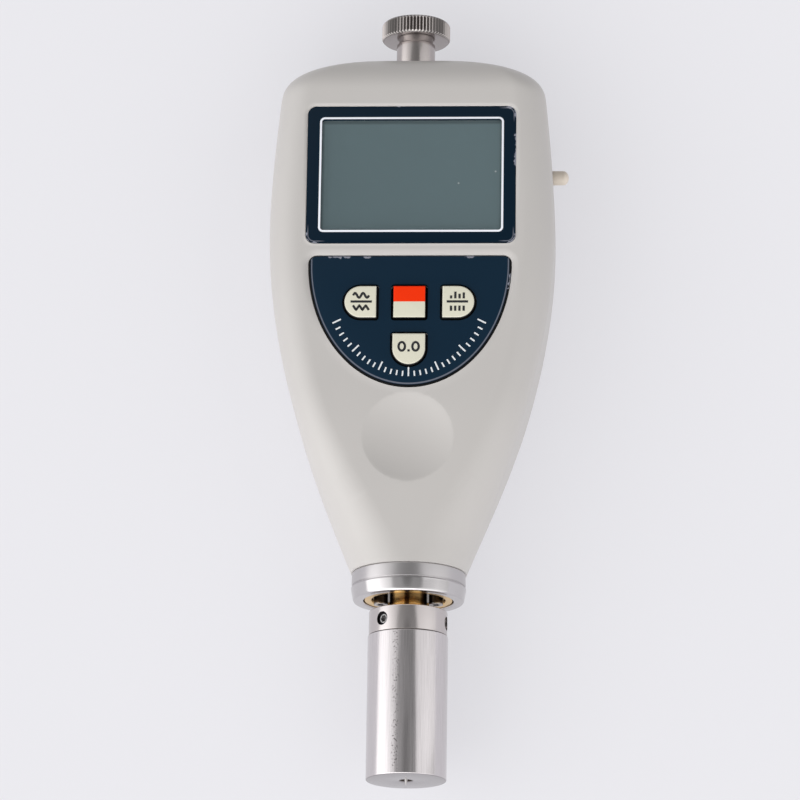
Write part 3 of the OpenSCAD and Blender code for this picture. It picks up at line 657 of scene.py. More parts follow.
def make_rings():
    """Noise of the place along Y only: a bumped normal with rings, and the ring value."""
    group, (pitch, strength), result = new_group("turning_rings", [("Pitch", FLOAT, 6.0), ("Strength", FLOAT, 0.1)],
                                                 [("Normal", VECTOR), ("Ring", FLOAT)])
    ring = noise(object_xyz(group)[1], pitch, 3.0, socket="W", noise_dimensions="1D")
    feed(result["Normal"], bump(ring, strength, 0.05 * MM))
    feed(result["Ring"], ring)
    return group


def make_scratches():
    """Streaks along the axis: noise of (angle round the axis, place along Y), stretched lengthwise."""
    group, (strength,), result = new_group("rubbed_scratches", [("Strength", FLOAT, 0.1)],
                                           [("Normal", VECTOR), ("Streak", FLOAT)])
    x, y, z = object_xyz(group)
    angle = x.maths("ARCTAN2", z - AXIS_Z)
    place = add_node(group, "ShaderNodeCombineXYZ", enumerate((angle * SCRATCHES_ROUND, y * SCRATCHES_ALONG)))
    streak = noise(place, 1.0, 4.0, roughness=0.7)
    feed(result["Normal"], bump(streak, strength, 0.02 * MM))
    feed(result["Streak"], streak)
    return group


RINGS = make_rings()
SCRATCHES = make_scratches()


def turned(name, color, roughness, pitch=6.0, strength=0.1, spread=0.15):
    """Turned metal: rings bend the light and make it rougher by turns."""
    tree, shader = finish_base(name, color, roughness, metallic=1.0)
    rings = use_group(tree, RINGS, Pitch=pitch, Strength=strength)
    feed(shader["Roughness"], rings["Ring"] * spread + (roughness - spread / 2))
    feed(shader["Normal"], rings["Normal"])


def rubbed(name, color, roughness, strength=0.1, spread=0.12, fade=0.80):
    """Polished metal with lengthwise scratches, which are a little darker than the rest."""
    tree, shader = finish_base(name, color, roughness, metallic=1.0)
    marks = use_group(tree, SCRATCHES, Strength=strength)
    feed(shader["Base Color"], marks["Streak"].step(0.25, 0.60).mix([fade * c for c in color], color))
    feed(shader["Roughness"], marks["Streak"] * spread + (roughness - spread / 2))
    feed(shader["Normal"], marks["Normal"])


# %% Stains
def masked(name, label, mask_of):
    """A socket of a finish, what feeds it now, and a mask of the object's point."""
    tree = finishes[name].node_tree
    socket = tree.nodes["Principled BSDF"].inputs[label]
    clean = Value(tree, socket.links[0].from_socket) if socket.links else tuple(socket.default_value)
    return socket, clean, mask_of(*object_xyz(tree))


def stain(name, color, mask_of):
    """Gives a finish another colour where the mask is 1."""
    socket, clean, mask = masked(name, "Base Color", mask_of)
    feed(socket, mask.mix(clean, color))


def polish(name, share, mask_of):
    """Scales a finish's roughness by a share where the mask is 1."""
    socket, rough, mask = masked(name, "Roughness", mask_of)
    feed(socket, rough * (mask * (share - 1) + 1.0))


PIT_STRIP, PIT_SCALE = 2.2, 2.6
KNOB_T = 4.2
BAND_Y = collar_low[1] + 3.0
base_screw_low = span("base_screws")[0]
JOINT_Y = probe_high[1]
SET_SCREW_Y = (JOINT_Y + clamp_high[1]) / 2
SET_SCREW_TURN = 39.0
SET_SCREW_ANGLES = [math.radians(k * 120 - SET_SCREW_TURN) for k in range(3)]


def along_y(low, high):
    """A mask of the place along Y alone: 0 on the side of low, 1 on the side of high."""
    return lambda x, y, z: y.step(low, high)


ring_seam = along_y(JOINT_Y + 0.16, JOINT_Y + 0.06)
foot_face = along_y(probe_low[1] + 0.14, probe_low[1] + 0.06)
# painted shade on the sides of the base screws' heads, inside the collar's recess
screw_head_shade = along_y(base_screw_low[1] + 0.15, base_screw_low[1] + 0.35)
lower_band = along_y(BAND_Y + 0.1, BAND_Y - 0.1)


def foot_pits_and_hole_shade(x, y, z):
    """Painted shade in the needle's hole (near the axis), a dark line at the joint's edge, and pits in a strip left
    of the crest.
    """
    joint = y.step(JOINT_Y - 0.18, JOINT_Y - 0.08)
    strip = abs(x + PIT_STRIP).step(0.9, 0.3)
    pits = noise(object_point(x.tree), PIT_SCALE, 1.0).step(0.60, 0.66) * strip * 0.7
    return joint | pits | off_axis(x, z).step(1.75, 1.45)


def stem_shade(x, y, z):
    """The stem's dark parts beside its two lit strips: a band in the middle standing for a slit, and painted shade on
    both sides.
    """
    aside = abs(x + 0.1)
    return aside.step(0.75, 0.35) | aside.step(2.7, 3.3)


def set_hole_shadow(x, y, z):
    """Painted shadow in the holes round the three set screws: far from all three of their axes."""
    point = add_node(x.tree, "ShaderNodeCombineXYZ", enumerate((x, y - SET_SCREW_Y, z - AXIS_Z)))
    nearest = 100.0
    for a in SET_SCREW_ANGLES:
        away = point.vector("CROSS_PRODUCT", (math.sin(a), 0.0, math.cos(a))).vector("LENGTH", out="Value")
        nearest = away.maths("MINIMUM", nearest)
    return nearest.step(0.85, 1.05)


def knurl_groove_shade(x, y, z):
    """Painted shade on the floors of the knurl's grooves: on the head, well inside its radius but outside its faces.
    """
    r, rim, top = off_axis(x, z), knob_high[0], knob_high[1]
    ring = r.step(rim - 0.16, rim - 0.34) * r.step(rim - 0.75, rim - 0.60)
    return ring * y.step(top - KNOB_T, top - KNOB_T + 0.2)


def band_groove_shade(x, y, z):
    """Painted shade in the groove between the two bands of the collar."""
    return abs(y - (BAND_Y + 0.15)).step(0.42, 0.28)


def recess_shade(x, y, z):
    """Inside the collar's recess: near the axis."""
    return off_axis(x, z).step(10.0, 9.7)


# %% Metals
turned("steel", (0.56, 0.54, 0.53), 0.32)
turned("black_steel", (0.06, 0.058, 0.06), 0.4)
turned("knurled_steel", (0.44, 0.405, 0.395), 0.20, pitch=5.0, strength=0.03, spread=0.08)
# painted shade in the knurl's grooves
stain("knurled_steel", (0.30, 0.28, 0.27), knurl_groove_shade)
rubbed("polished_steel", (0.66, 0.625, 0.635), 0.18)
# pits and a dark joint line on the foot, with painted shade in the needle's hole
stain("polished_steel", (0.05, 0.04, 0.035), foot_pits_and_hole_shade)
stain("polished_steel", (0.34, 0.32, 0.325), foot_face)
turned("ring_steel", (0.57, 0.53, 0.525), 0.20, pitch=9.0, strength=0.05, spread=0.08)
stain("ring_steel", (0.10, 0.07, 0.05), ring_seam)
turned("turned_aluminium", (0.52, 0.50, 0.505), 0.30, pitch=7.0, strength=0.08, spread=0.10)
stain("turned_aluminium", (0.57, 0.55, 0.555), lower_band)
# painted shade in the groove between the collar's bands
stain("turned_aluminium", (0.44, 0.42, 0.425), band_groove_shade)
stain("turned_aluminium", (0.10, 0.07, 0.045), recess_shade)
polish("turned_aluminium", 0.45, lower_band)
turned("brass", (0.78, 0.53, 0.22), 0.24)
turned("stem_brass", (0.72, 0.48, 0.20), 0.24)
# painted shade on the stem's sides, and a dark band for its slit
stain("stem_brass", (0.10, 0.05, 0.02), stem_shade)
turned("screw_steel", (0.56, 0.54, 0.53), 0.30)
# painted shade on the base screws' head sides
stain("screw_steel", (0.07, 0.05, 0.035), screw_head_shade)
turned("set_steel", (0.40, 0.39, 0.39), 0.25)
# painted shadow in the set screws' holes
stain("set_steel", (0.008, 0.008, 0.009), set_hole_shadow)
turned("copper_wire", (0.66, 0.32, 0.16), 0.4, pitch=12.0)
print("metals:", ", ".join(list(finishes)[PLASTICS:]))

# %% [markdown]
# ## Printed plates
#
# The window and the keypad plate are clear plastic printed dark on the back. Their print is a set of masks:
# the distance to a rounded rectangle tells frame from line from clear field, and noise near the rim makes
# the small chips where the print has been knocked.

# %% Outlines and chips
CHIP_LEVEL, CHIP_SOFT, CHIP_EASE = 0.86, 0.04, 0.46


def corner_distance(x, y, radius):
    """Distance outside two sides with a round corner, from the distances past lines one radius inside them."""
    return (x | y).maths("MINIMUM", 0.0) + hypot(x | 0.0, y | 0.0) - radius


def make_outline():
    """Signed distance in mm to a rounded rectangle in XY: negative inside."""
    group, (middle, half, radius), result = new_group(
        "outline_distance", [("Middle", VECTOR, (0, 0, 0)), ("Half", VECTOR, (1, 1, 0)), ("Radius", FLOAT, 1.0)],
        [("Distance", FLOAT)])
    past = object_point(group).vector("SUBTRACT", middle).vector("ABSOLUTE").vector("SUBTRACT", half)
    x, y, _ = parts_of(past)
    feed(result["Distance"], corner_distance(x + radius, y + radius, radius))
    return group


def make_chips():
    """Chips: a mask where a lumpy noise plus the ease of chipping passes a level."""
    group, (ease, size), result = new_group("edge_chips", [("Ease", FLOAT, 0.0), ("Size", FLOAT, 0.9)],
                                            [("Chip", FLOAT)])
    lumps = noise(object_point(group), size, 3.0)
    feed(result["Chip"], (lumps + ease).step(CHIP_LEVEL, CHIP_LEVEL + CHIP_SOFT))
    return group


OUTLINE = make_outline()
CHIPS = make_chips()


def spots(tree, *places):
    """1 near any of the places (x, y, z, radius), fading to 0 at its radius."""
    point, total = object_point(tree), 0.0
    for *place, radius in places:
        total = point.vector("DISTANCE", place, out="Value").step(radius, radius * 0.5) | total
    return total


def chipped(near, size, *places):
    """Chips where a rim mask and one of the places meet."""
    ease = near * spots(near.tree, *places) * CHIP_EASE
    return use_group(near.tree, CHIPS, Size=size, Ease=ease)["Chip"]


# %% Window print
NAVY = (0.0004, 0.0090, 0.0205)
# colour of chips in the print, and of the painted highlight on the keypad plate's rim
CHIP_AND_HIGHLIGHT_COLOR = (0.24, 0.25, 0.30)
LINE_WHITE = (0.80, 0.82, 0.88)
window_mid = (window_low + window_high) / 2
window_half = (window_high - window_low) / 2
WINDOW_R, FIELD_R = 2.0, 0.7
FIELD_BORDER = np.array((3.28, 3.12, 0))
LINE_WIDTH, LINE_SOFT = 0.46, 0.03


def window_rim(tree):
    """Distance outside the window's rim."""
    return use_group(tree, OUTLINE, Middle=window_mid, Half=window_half, Radius=WINDOW_R)["Distance"]


def window_field(tree):
    """Distance outside the clear field."""
    return use_group(tree, OUTLINE, Middle=window_mid, Half=window_half - FIELD_BORDER, Radius=FIELD_R)["Distance"]


def window_print():
    """Dark frame, pale line and clear field; the frame is chipped along its rim."""
    tree, shader = finish_base("window_print", NAVY, 0.22, specular=0.2)
    rim, field = window_rim(tree), window_field(tree)
    (left, foot, _), (right, head, z) = window_low, window_high
    chips = chipped(rim.step(-1.1, 0.0), 1.1, (right, window_mid[1] + 6, z, 6.5), (right - 0.8, head - 0.8, z, 3.2),
                    (right - 0.8, foot + 0.8, z, 2.6), (left + 0.8, foot + 0.8, z, 3.2), (-2.5, head, z, 1.6))
    corners = spots(tree, (left + 1, foot + 1, z, 3.6), (right - 1, foot + 1, z, 3.0), (right - 1, head - 1, z, 3.0))
    streak = abs(rim + 0.5).step(0.16, 0.06) * corners * 0.5
    frame_color = (chips | streak).mix(NAVY, CHIP_AND_HIGHLIGHT_COLOR)
    on_top = object_xyz(tree)[2].step(z - 0.3, z - 0.2)
    on_frame = field.step(LINE_WIDTH - LINE_SOFT, LINE_WIDTH + LINE_SOFT)
    feed(shader["Base Color"], on_frame.mix(on_top.mix(NAVY, LINE_WHITE), frame_color))
    seen = add_node(tree, "ShaderNodeLightPath", out="Is Camera Ray")
    feed(shader["Alpha"], field.step(-LINE_SOFT, LINE_SOFT) * seen)


# %% Keypad print
PAD_NAVY = (0.0030, 0.0166, 0.0350)
# painted shade of the gap round the keypad plate
PAD_GAP_SHADE = (0.001, 0.0015, 0.002)
PAD_R = 1.8
pad_mid = (pad_low + pad_high) / 2
PAD_STRAIGHT_Y = pad_high[1] - 1.9
PAD_DEEP = PAD_STRAIGHT_Y - pad_low[1]


def pad_reach(tree):
    """How far out from the pad's middle as a share of the way to its round rim, the same in mm, and y."""
    x, y, _ = object_xyz(tree)
    drop = (y - PAD_STRAIGHT_Y).maths("MINIMUM", 0.0)
    return hypot(x / pad_high[0], drop / PAD_DEEP), hypot(x, drop), y


def plate_print():
    """Dark plate with a worn rim, a painted highlight just inside it and painted shade on its outermost edge: the rim
    is a straight top and a half ellipse below.
    """
    tree, shader = finish_base("plate_print", PAD_NAVY, 0.28, specular=0.2)
    share, _, y = pad_reach(tree)
    right, top, z = pad_high
    chips = chipped(share.step(0.955, 1.0) | y.step(top - 1.3, top - 0.3), 1.3, (-15.8, top, z, 3.4),
                    (-9.8, top, z, 1.4), (13.5, top, z, 1.8), (right, top - 6, z, 3.0))
    # a painted highlight on the plate's rounded edge
    rim_highlight = abs(share - 0.972).step(0.008, 0.003) * 0.55
    # painted shade of the gap, on the plate's outermost edge
    tone = share.step(0.980, 0.986).mix(PAD_NAVY, PAD_GAP_SHADE)
    feed(shader["Base Color"], (chips | rim_highlight).mix(tone, CHIP_AND_HIGHLIGHT_COLOR))


# %% Display glass and the power key
LCD = (0.098, 0.140, 0.152)
LCD_EDGE = (0.02, 0.03, 0.033)
LCD_DIM = 0.94
SPECK, SPECK_R = (0.30, 0.33, 0.34), 0.28
RED = (0.85, 0.035, 0.004)
CREAM = (0.66, 0.64, 0.52)
# painted shade in the gap round the keys
GAP_SHADE_COLOR = (0.003, 0.003, 0.004)
key_low, key_high = span("power_key")
KEY_MID_Y, KEY_TOP = (key_low[1] + key_high[1]) / 2, key_high[2]


def display_glass():
    """Grey glass: a slow change of tone towards one side, shade inside its edge, and two specks of dust."""
    tree, shader = finish_base("display_glass", LCD, 0.16)
    across = object_xyz(tree)[0].step(window_low[0], window_high[0])
    tone = across.mix([LCD_DIM * c for c in LCD], LCD)
    edge = window_field(tree).step(-0.65, -0.15) * 0.5
    glass_top = span("display_panel")[1][2]
    dust = spots(tree, (10.7, 28.7, glass_top, SPECK_R), (19.1, 31.5, glass_top, SPECK_R)) * 0.8
    feed(shader["Base Color"], dust.mix(edge.mix(tone, LCD_EDGE), SPECK))


def power_plastic():
    """Upper half red, lower half cream, parted by a straight line through the middle of the key."""
    tree, shader = finish_base("power_key_plastic", CREAM, 0.4, specular=0.06)
    feed(shader["Base Color"], object_xyz(tree)[1].step(KEY_MID_Y - 0.05, KEY_MID_Y + 0.05).mix(CREAM, RED))


def key_gap_shade(x, y, z):
    """Painted shade in the gap round a key: its flange and sides, up to the edge of its top."""
    return z.step(KEY_TOP - 0.09, KEY_TOP - 0.14)


window_print()
plate_print()
display_glass()
power_plastic()
# painted shade on the keys' flanges and sides, in the gap round them
for name in ("key_plastic", "power_key_plastic"):
    stain(name, GAP_SHADE_COLOR, key_gap_shade)
print("printed finishes: window, plate, display, power key")

# %% [markdown]
# ## Soft lips of the pockets
#
# The moulding rolls softly into the two pockets and into the thumb dimple. That roll is a bump: a depth which
# is nothing away from a pocket and grows with the square of the nearness to its edge.

# %% Lips
WINDOW_LIP, WINDOW_LIP_DEPTH, WINDOW_BEAD = 0.9, 0.40, 0.25
PAD_LIP, PAD_LIP_DEPTH, PAD_BEAD = 1.9, 0.80, 0.20
DIMPLE_R, DIMPLE_DEPTH, DIMPLE_Y = 10.3, 1.1, Y_NECK + 28.6
DIMPLE_PRESS = 0.60


def lip(distance, reach, depth, bead, y, low, high):
    """Depth times the square of (1 - distance / reach): down at the head of a pocket, up by bead at its foot."""
    near = distance.step(reach, 0.0)
    return near * near * (y.step(low, high) * (-depth - bead) + bead)


def pad_distance(tree):
    """Distance in mm outside the pad's rim: the greater of round part and top, rounded where they meet."""
    share, far, y = pad_reach(tree)
    return corner_distance(far - far / share + PAD_R, y - pad_high[1] + PAD_R, PAD_R)


def press_lips():
    """Adds the lips of both pockets and the dimple's hollow to the housing's normal, on the display side only."""
    tree = finishes["housing_plastic"].node_tree
    normal = tree.nodes["Principled BSDF"].inputs["Normal"]
    x, y, z = object_xyz(tree)
    off = y - DIMPLE_Y
    hollow = (x * x + off * off).step(DIMPLE_R**2, 0.0) * -DIMPLE_PRESS
    lips = (lip(window_rim(tree), WINDOW_LIP, WINDOW_LIP_DEPTH, WINDOW_BEAD, y, window_low[1], window_mid[1])
            + lip(pad_distance(tree), PAD_LIP, PAD_LIP_DEPTH, PAD_BEAD, y, pad_mid[1] - 6, pad_high[1] - 3))
    front = z.step(Z_FRONT - 3.2, Z_FRONT - 3.0)
    feed(normal, bump((lips + hollow) * front, 1.0, MM, Value(tree, normal.links[0].from_socket)))


press_lips()
print("housing: soft lips", WINDOW_LIP, "and", PAD_LIP, "mm wide")

# %% [markdown]
# ## Cutting tools
#
# Openings are cut with simple closed pieces: a stacked outline for a pocket, a rod for a bore, a block for a
# tray. Several tools that don't touch each other are joined, so that one cut serves them all.

# %% Tools for cutting
FAR = 90.0
UNDER_FACE = 20
PANEL_GAP = 0.15
KEY_GAP = 0.4


def join_tools(name, *tools):
    """One object from several closed pieces."""
    bm = bmesh.new()
    for tool in tools:
        bm.from_mesh(tool.data)
        bpy.data.objects.remove(tool)
    mesh = bpy.data.meshes.new(name)
    bm.to_mesh(mesh)
    bm.free()
    return add_object(name, mesh)


def rod(name, start, end, radius, around=48):
    """A cylinder between two points: two rings square to the line, closed at both ends."""
    start, end = np.array(start, float), np.array(end, float)
    along = (end - start) / np.linalg.norm(end - start)
    side = np.cross(along, (0, 0, 1) if abs(along[2]) < 0.9 else (1, 0, 0))
    side /= np.linalg.norm(side)
    over = np.cross(along, side)
    a = np.linspace(0, 2 * np.pi, around, endpoint=False)[:, None]
    ring = radius * (np.cos(a) * side + np.sin(a) * over)
    faces = grid_faces(2, around, wrap=True) + [list(range(around)), list(range(around, 2 * around))]
    return add_piece(name, np.concatenate([start + ring, end + ring]), faces)


def block(name, low, high):
    """A box between two corners."""
    mid, half = (np.array(low) + high) / 2, (np.array(high) - low) / 2
    outline = lambda inset: mid[:2] + half[:2] * np.array([(1, 1), (-1, 1), (-1, -1), (1, -1)])
    return prism(name, outline, [(low[2], 0), (high[2], 0)])


def pad_outline(inset):
    """Keypad plate: straight top with round corners, half ellipse below."""
    half_w, mid = pad_high[0] - inset, PAD_STRAIGHT_Y
    deep, r, top = PAD_DEEP - inset, PAD_R - inset, pad_high[1] - inset
    return np.concatenate([arc(half_w - r, top - r, r, r, 0, 90, 6), arc(r - half_w, top - r, r, r, 90, 180, 6),
                           arc(0, mid, half_w, deep, 180, 360, 96)])


# %% Outlines of the keys
KEY_W, KEY_H, KEY_CORNER = 7.5, 7.7, 0.3
KEY_TURN = {"unit_key": 0, "average_key": 180, "zero_key": 90}
KEYS = ("unit_key", "power_key", "average_key", "zero_key")


def key_middle(node):
    """Middle of a key's box."""
    low, high = span(node)
    return (low + high) / 2


def key_outline(node):
    """Half round on one side and square on the other, turned for each key; the power key is square."""
    cx, cy = key_middle(node)[:2]
    if node not in KEY_TURN:
        return box_outline(cx, cy, KEY_W / 2, KEY_H / 2, KEY_CORNER)
    turn = math.radians(KEY_TURN[node])
    spin = np.array([[math.cos(turn), math.sin(turn)], [-math.sin(turn), math.cos(turn)]])

    def at(inset):
        r, right, c = KEY_H / 2 - inset, KEY_W / 2 - inset, max(KEY_CORNER - inset, 0.02)
        bulge = arc((KEY_H - KEY_W) / 2, 0, r, r, 90, 270, 40)
        corners = [arc(right - c, c - r, c, c, -90, 0, 5), arc(right - c, r - c, c, c, 0, 90, 5)]
        return np.concatenate([bulge, *corners]) @ spin + (cx, cy)
    return at


def key_openings(name, low, high):
    """All four key outlines, grown by the gap, as one cutting tool."""
    levels = [(low, -KEY_GAP), (high, -KEY_GAP)]
    return join_tools(name, *[prism(key + "_hole", key_outline(key), levels) for key in KEYS])


# %% [markdown]
# ## Front shell
#
# The display half of the moulding. The thumb dimple is a shallow bowl pressed into the face: the face drops
# by a depth that falls with the square of the distance from the bowl's middle. The window, the keypad plate
# and the keys lie in pockets whose edges get a small radius, because that radius catches the light.

# %% Front shell
INSERT_R, NECK_BORE_R, JACK_R, BORE_DEPTH = 3.55, 8.55, 2.65, 4.2
POCKET_EDGE, FIELD_EDGE = 0.55, 2.6
WINDOW_FIELD = window_half[:2] - FIELD_EDGE
plug_low, plug_high = span("dust_plug")
plug_mid = (plug_low + plug_high) / 2


def press_dimple(grid):
    """Lowers the face by depth times (1 - distance squared / radius squared) inside the dimple's circle."""
    x, y, z = grid[..., 0], grid[..., 1], grid[..., 2]
    drop = DIMPLE_DEPTH * np.clip(1 - (x**2 + (y - DIMPLE_Y) ** 2) / DIMPLE_R**2, 0, 1)
    return np.stack([x, y, np.where(z > Z_FRONT - 3, z - drop, z)], axis=-1)


def shared_bores(name):
    """Neck bore, screw insert bore and jack hole, which both shells share."""
    return join_tools(name, rod("neck", (0, Y_NECK - 1, AXIS_Z), (0, Y_NECK + BORE_DEPTH, AXIS_Z), NECK_BORE_R, 96),
                      rod("insert", (0, Y_TOP_FACE - BORE_DEPTH, AXIS_Z), (0, Y_TOP_FACE + 1, AXIS_Z), INSERT_R),
                      rod("jack", (20, plug_mid[1], Z_MID), (FAR, plug_mid[1], Z_MID), JACK_R))


def make_front_shell():
    """Skin, pockets and openings of the display half."""
    shell = half_shell("front_moulding", 1, press_dimple)
    w, h = window_half[:2] + PANEL_GAP
    pockets = join_tools(
        "pockets", prism("window_pocket", box_outline(0, window_mid[1], w, h, WINDOW_R + PANEL_GAP),
                         [(window_low[2], 0), (FAR, 0)]),
        prism("pad_pocket", pad_outline, [(pad_low[2], -PANEL_GAP), (FAR, -PANEL_GAP)]))
    field = prism("field", box_outline(0, window_mid[1], *WINDOW_FIELD, 1.0), [(UNDER_FACE, 0), (FAR, 0)])
    view = join_tools("view", field, key_openings("keys", UNDER_FACE, FAR))
    carve(shell, "DIFFERENCE", pockets, view, shared_bores("bores"))
    return soften(shell, POCKET_EDGE, segments=5)


stand_for(make_front_shell(), "housing", "housing_plastic", "housing_plastic", "front_shell")

# %% [markdown]
# ## Rear shell and battery door
#
# The back half comes from the same curves, cut flat where the gauge rests. It holds the battery tray, four
# screw wells and the bay for the door. The door takes its outer face from the same form, so it lies flush,
# and its lip wraps round the top end.

# %% Rear shell
door_box_low, door_box_high = span("battery_door")
screws_low, screws_high = span("housing_screws")
DOOR_T, DOOR_LIP_Y, DOOR_LIP_Z = 1.7, HOUSING["y_top"] - 4.2, 5.0
TRAY_HALF, TRAY_WALL, TRAY_ROOF = 22.0, 1.4, 12.55
TRAY_LOW, TRAY_HIGH = door_box_low[1] + 1.2, HOUSING["y_top"] - 9.4
WELL_R, WELL_Z = 2.7, 5.0
SCREW_HEAD_R, SCREW_HOLE_R, LOW_SCREW_X = 2.3, 1.35, 15.5
BOSS_WALL, BOSS_ROOF, SHELL_EDGE = 1.2, 1.4, 0.18


def rest_flat(grid):
    """Nothing lies below the bench."""
    return np.concatenate([grid[..., :2], np.maximum(grid[..., 2:], 0)], axis=-1)


def screw_places():
    """Middles of the four housing screws: two by the display, two by the dimple."""
    x_out, y_out = screws_high[0] - SCREW_HEAD_R, screws_high[1] - SCREW_HEAD_R
    y_in = screws_low[1] + SCREW_HEAD_R
    return [(side * x, y) for x, y in ((x_out, y_out), (LOW_SCREW_X, y_in)) for side in (-1, 1)]


def door_bay(name, grow):
    """The space of the door: a plate, and a deeper part at the top end for the lip."""
    half, low = door_box_high[0] + grow, door_box_low[1] - grow
    profile = [(low, -1), (FAR, -1), (FAR, DOOR_LIP_Z + grow), (DOOR_LIP_Y - grow, DOOR_LIP_Z + grow),
               (DOOR_LIP_Y - grow, DOOR_T + grow), (low, DOOR_T + grow)]
    points = [(x, y, z) for x in (-half, half) for y, z in profile]
    count = len(profile)
    faces = grid_faces(2, count, wrap=True) + [list(range(count)), list(range(count, 2 * count))]
    return add_piece(name, points, faces)


def back_solid(name, y_from):
    """The back half as a closed solid from one place along Y to the top end."""
    y = rows_along(y_from, 60)
    outer = rest_flat(skin(y, -1, 0, y))
    lid = np.stack([outer[:, 0], outer[:, -1]], axis=1)
    points, faces = join_grids(outer, lid)
    cols = outer.shape[1]
    for row in (0, len(y) - 1):
        faces.append([row * cols + k for k in range(cols)])
    return add_piece(name, points, faces)


def make_rear_shell():
    """Skin of the back half with tray, door bay, wells and bores."""
    shell = half_shell("rear_moulding", -1, rest_flat)
    tray = block("tray", (-TRAY_HALF - TRAY_WALL, TRAY_LOW - TRAY_WALL, 1.2),
                 (TRAY_HALF + TRAY_WALL, TRAY_HIGH + TRAY_WALL, TRAY_ROOF + TRAY_WALL))
    bosses = [rod("boss", (x, y, 1.0), (x, y, WELL_Z + BOSS_ROOF), WELL_R + BOSS_WALL) for x, y in screw_places()]
    bosses = carve(join_tools("bosses", *bosses), "INTERSECT", back_solid("inside", Y_NECK + 10))
    carve(shell, "UNION", tray, bosses)
    room = block("room", (-TRAY_HALF, TRAY_LOW, -1), (TRAY_HALF, TRAY_HIGH, TRAY_ROOF))
    wells = [rod("well", (x, y, -1), (x, y, WELL_Z), WELL_R) for x, y in screw_places()]
    holes = [rod("hole", (x, y, -1), (x, y, Z_MID), SCREW_HOLE_R, 24) for x, y in screw_places()]
    carve(shell, "DIFFERENCE", room, door_bay("bay", PANEL_GAP), join_tools("wells", *wells),
          join_tools("holes", *holes), shared_bores("bores"))
    return soften(shell, SHELL_EDGE)


stand_for(make_rear_shell(), "housing", "housing_plastic", "housing_plastic", "rear_shell")


# %% Battery door
GRIP_D, GRIP_LEN, GRIPS, DOOR_EDGE = 0.8, 16.0, 6, 0.15


def make_door():
    """The back form cut to the door's space, with grip grooves across it."""
    door = carve(back_solid("door_moulding", HOUSING["belly_y"] - 20), "INTERSECT", door_bay("space", 0))
    grips = [rod("grip", (-GRIP_LEN / 2, TRAY_HIGH - (i + 1) * 2 * GRIP_D, 0),
                 (GRIP_LEN / 2, TRAY_HIGH - (i + 1) * 2 * GRIP_D, 0), GRIP_D / 2, 24) for i in range(GRIPS)]
    carve(door, "DIFFERENCE", join_tools("grips", *grips))
    return soften(door, DOOR_EDGE)


stand_for(make_door(), "door", "housing_plastic", "housing_plastic", "battery_door")

# %% [markdown]
# ## Window, keypad plate and keys
#
# Plates are stacked outlines with a narrow bevel round the top. A key is a flange under the plate and a
# body that comes up through it, with the top edge rounded over a quarter circle.

# %% Plates
def bevelled(low, high, bevel, steps=3):
    """Levels of a plate whose top edge is rounded over a quarter circle."""
    a = np.radians(np.linspace(0, 90, steps + 1))
    top = [(high - bevel + bevel * math.sin(t), bevel * (1 - math.cos(t))) for t in a]
    return [(low, 0)] + top


window_plate = prism("window_plate", box_outline(0, window_mid[1], *window_half[:2], WINDOW_R, steps=10),
                     bevelled(window_low[2], window_high[2], 0.14))
stand_for(window_plate, "housing", "window_print", "window_print", "display_window")
pad_plate = prism("pad_plate", pad_outline, bevelled(pad_low[2], pad_high[2], 0.28, steps=4))
carve(pad_plate, "DIFFERENCE", key_openings("holes", UNDER_FACE, FAR))
shade(pad_plate.data)
stand_for(pad_plate, "housing", "plate_print", "plate_print", "keypad_plate")

# %% Keys
KEY_FLANGE, KEY_FLANGE_T, KEY_ROUND = 1.0, 0.8, 0.5
KEY_BODY = {"unit_key": "unit_button", "power_key": "power_button", "average_key": "average_button",
            "zero_key": "zero_button"}
for key in KEYS:
    low, high = (v[2] for v in span(key))
    flange = [(low, -KEY_FLANGE), (low + KEY_FLANGE_T, -KEY_FLANGE)]
    levels = flange + bevelled(low + KEY_FLANGE_T, high, KEY_ROUND, steps=6)
    cap = prism(key + "_cap", key_outline(key), levels)
    finish = "power_key_plastic" if key == "power_key" else "key_plastic"
    stand_for(cap, KEY_BODY[key], finish, finish, key)

# %% [markdown]
# ## Marks
#
# The keys and the plate carry plain marks in place of words: lines, bars and a nought. Each is a thin ribbon,
# a rectangle carried along a path, that stands a few hundredths of a millimetre above the surface it marks
# and moves with it.

# %% Ribbons
INK_T = 0.03
STROKE = 0.52


def ribbon(path, width, top, closed=False):
    """Points and faces of a flat strip: the path moved half the width to both sides, at two heights."""
    path = np.asarray(path, float)
    if closed:
        along = np.roll(path, -1, axis=0) - np.roll(path, 1, axis=0)
    else:
        along = np.gradient(path, axis=0)
    along /= np.linalg.norm(along, axis=1, keepdims=True)
    aside = np.column_stack([-along[:, 1], along[:, 0]]) * width / 2
    left, right = path + aside, path - aside
    around = ((left, top - INK_T), (left, top + INK_T), (right, top + INK_T), (right, top - INK_T))
    grid = np.stack([np.column_stack([xy, np.full(len(xy), z)]) for xy, z in around], axis=1)
    if closed:
        grid = np.concatenate([grid, grid[:1]])
    faces = grid_faces(len(grid), 4, wrap=True)
    if not closed:
        last = 4 * (len(grid) - 1)
        faces += [[0, 1, 2, 3], [last, last + 1, last + 2, last + 3]]
    return grid.reshape(-1, 3), faces


def mark_piece(name, strips, body, finish, slot):
    """All strips of one mark as one piece that rides on a body."""
    points, faces, first = [], [], 0
    for strip_points, strip_faces in strips:
        points.append(strip_points)
        faces += [[first + k for k in face] for face in strip_faces]
        first += len(strip_points)
    return stand_for(add_piece(name, np.concatenate(points), faces), body, finish, slot)


def line(x0, y0, x1, y1):
    """A straight path in two points."""
    return [(x0, y0), (x1, y1)]


def bars(cx, foot, heights, pitch=0.95):
    """Upright bars of given heights on one foot line."""
    offset = (len(heights) - 1) / 2
    return [line(cx + (k - offset) * pitch, foot, cx + (k - offset) * pitch, foot + height)
            for k, height in enumerate(heights)]


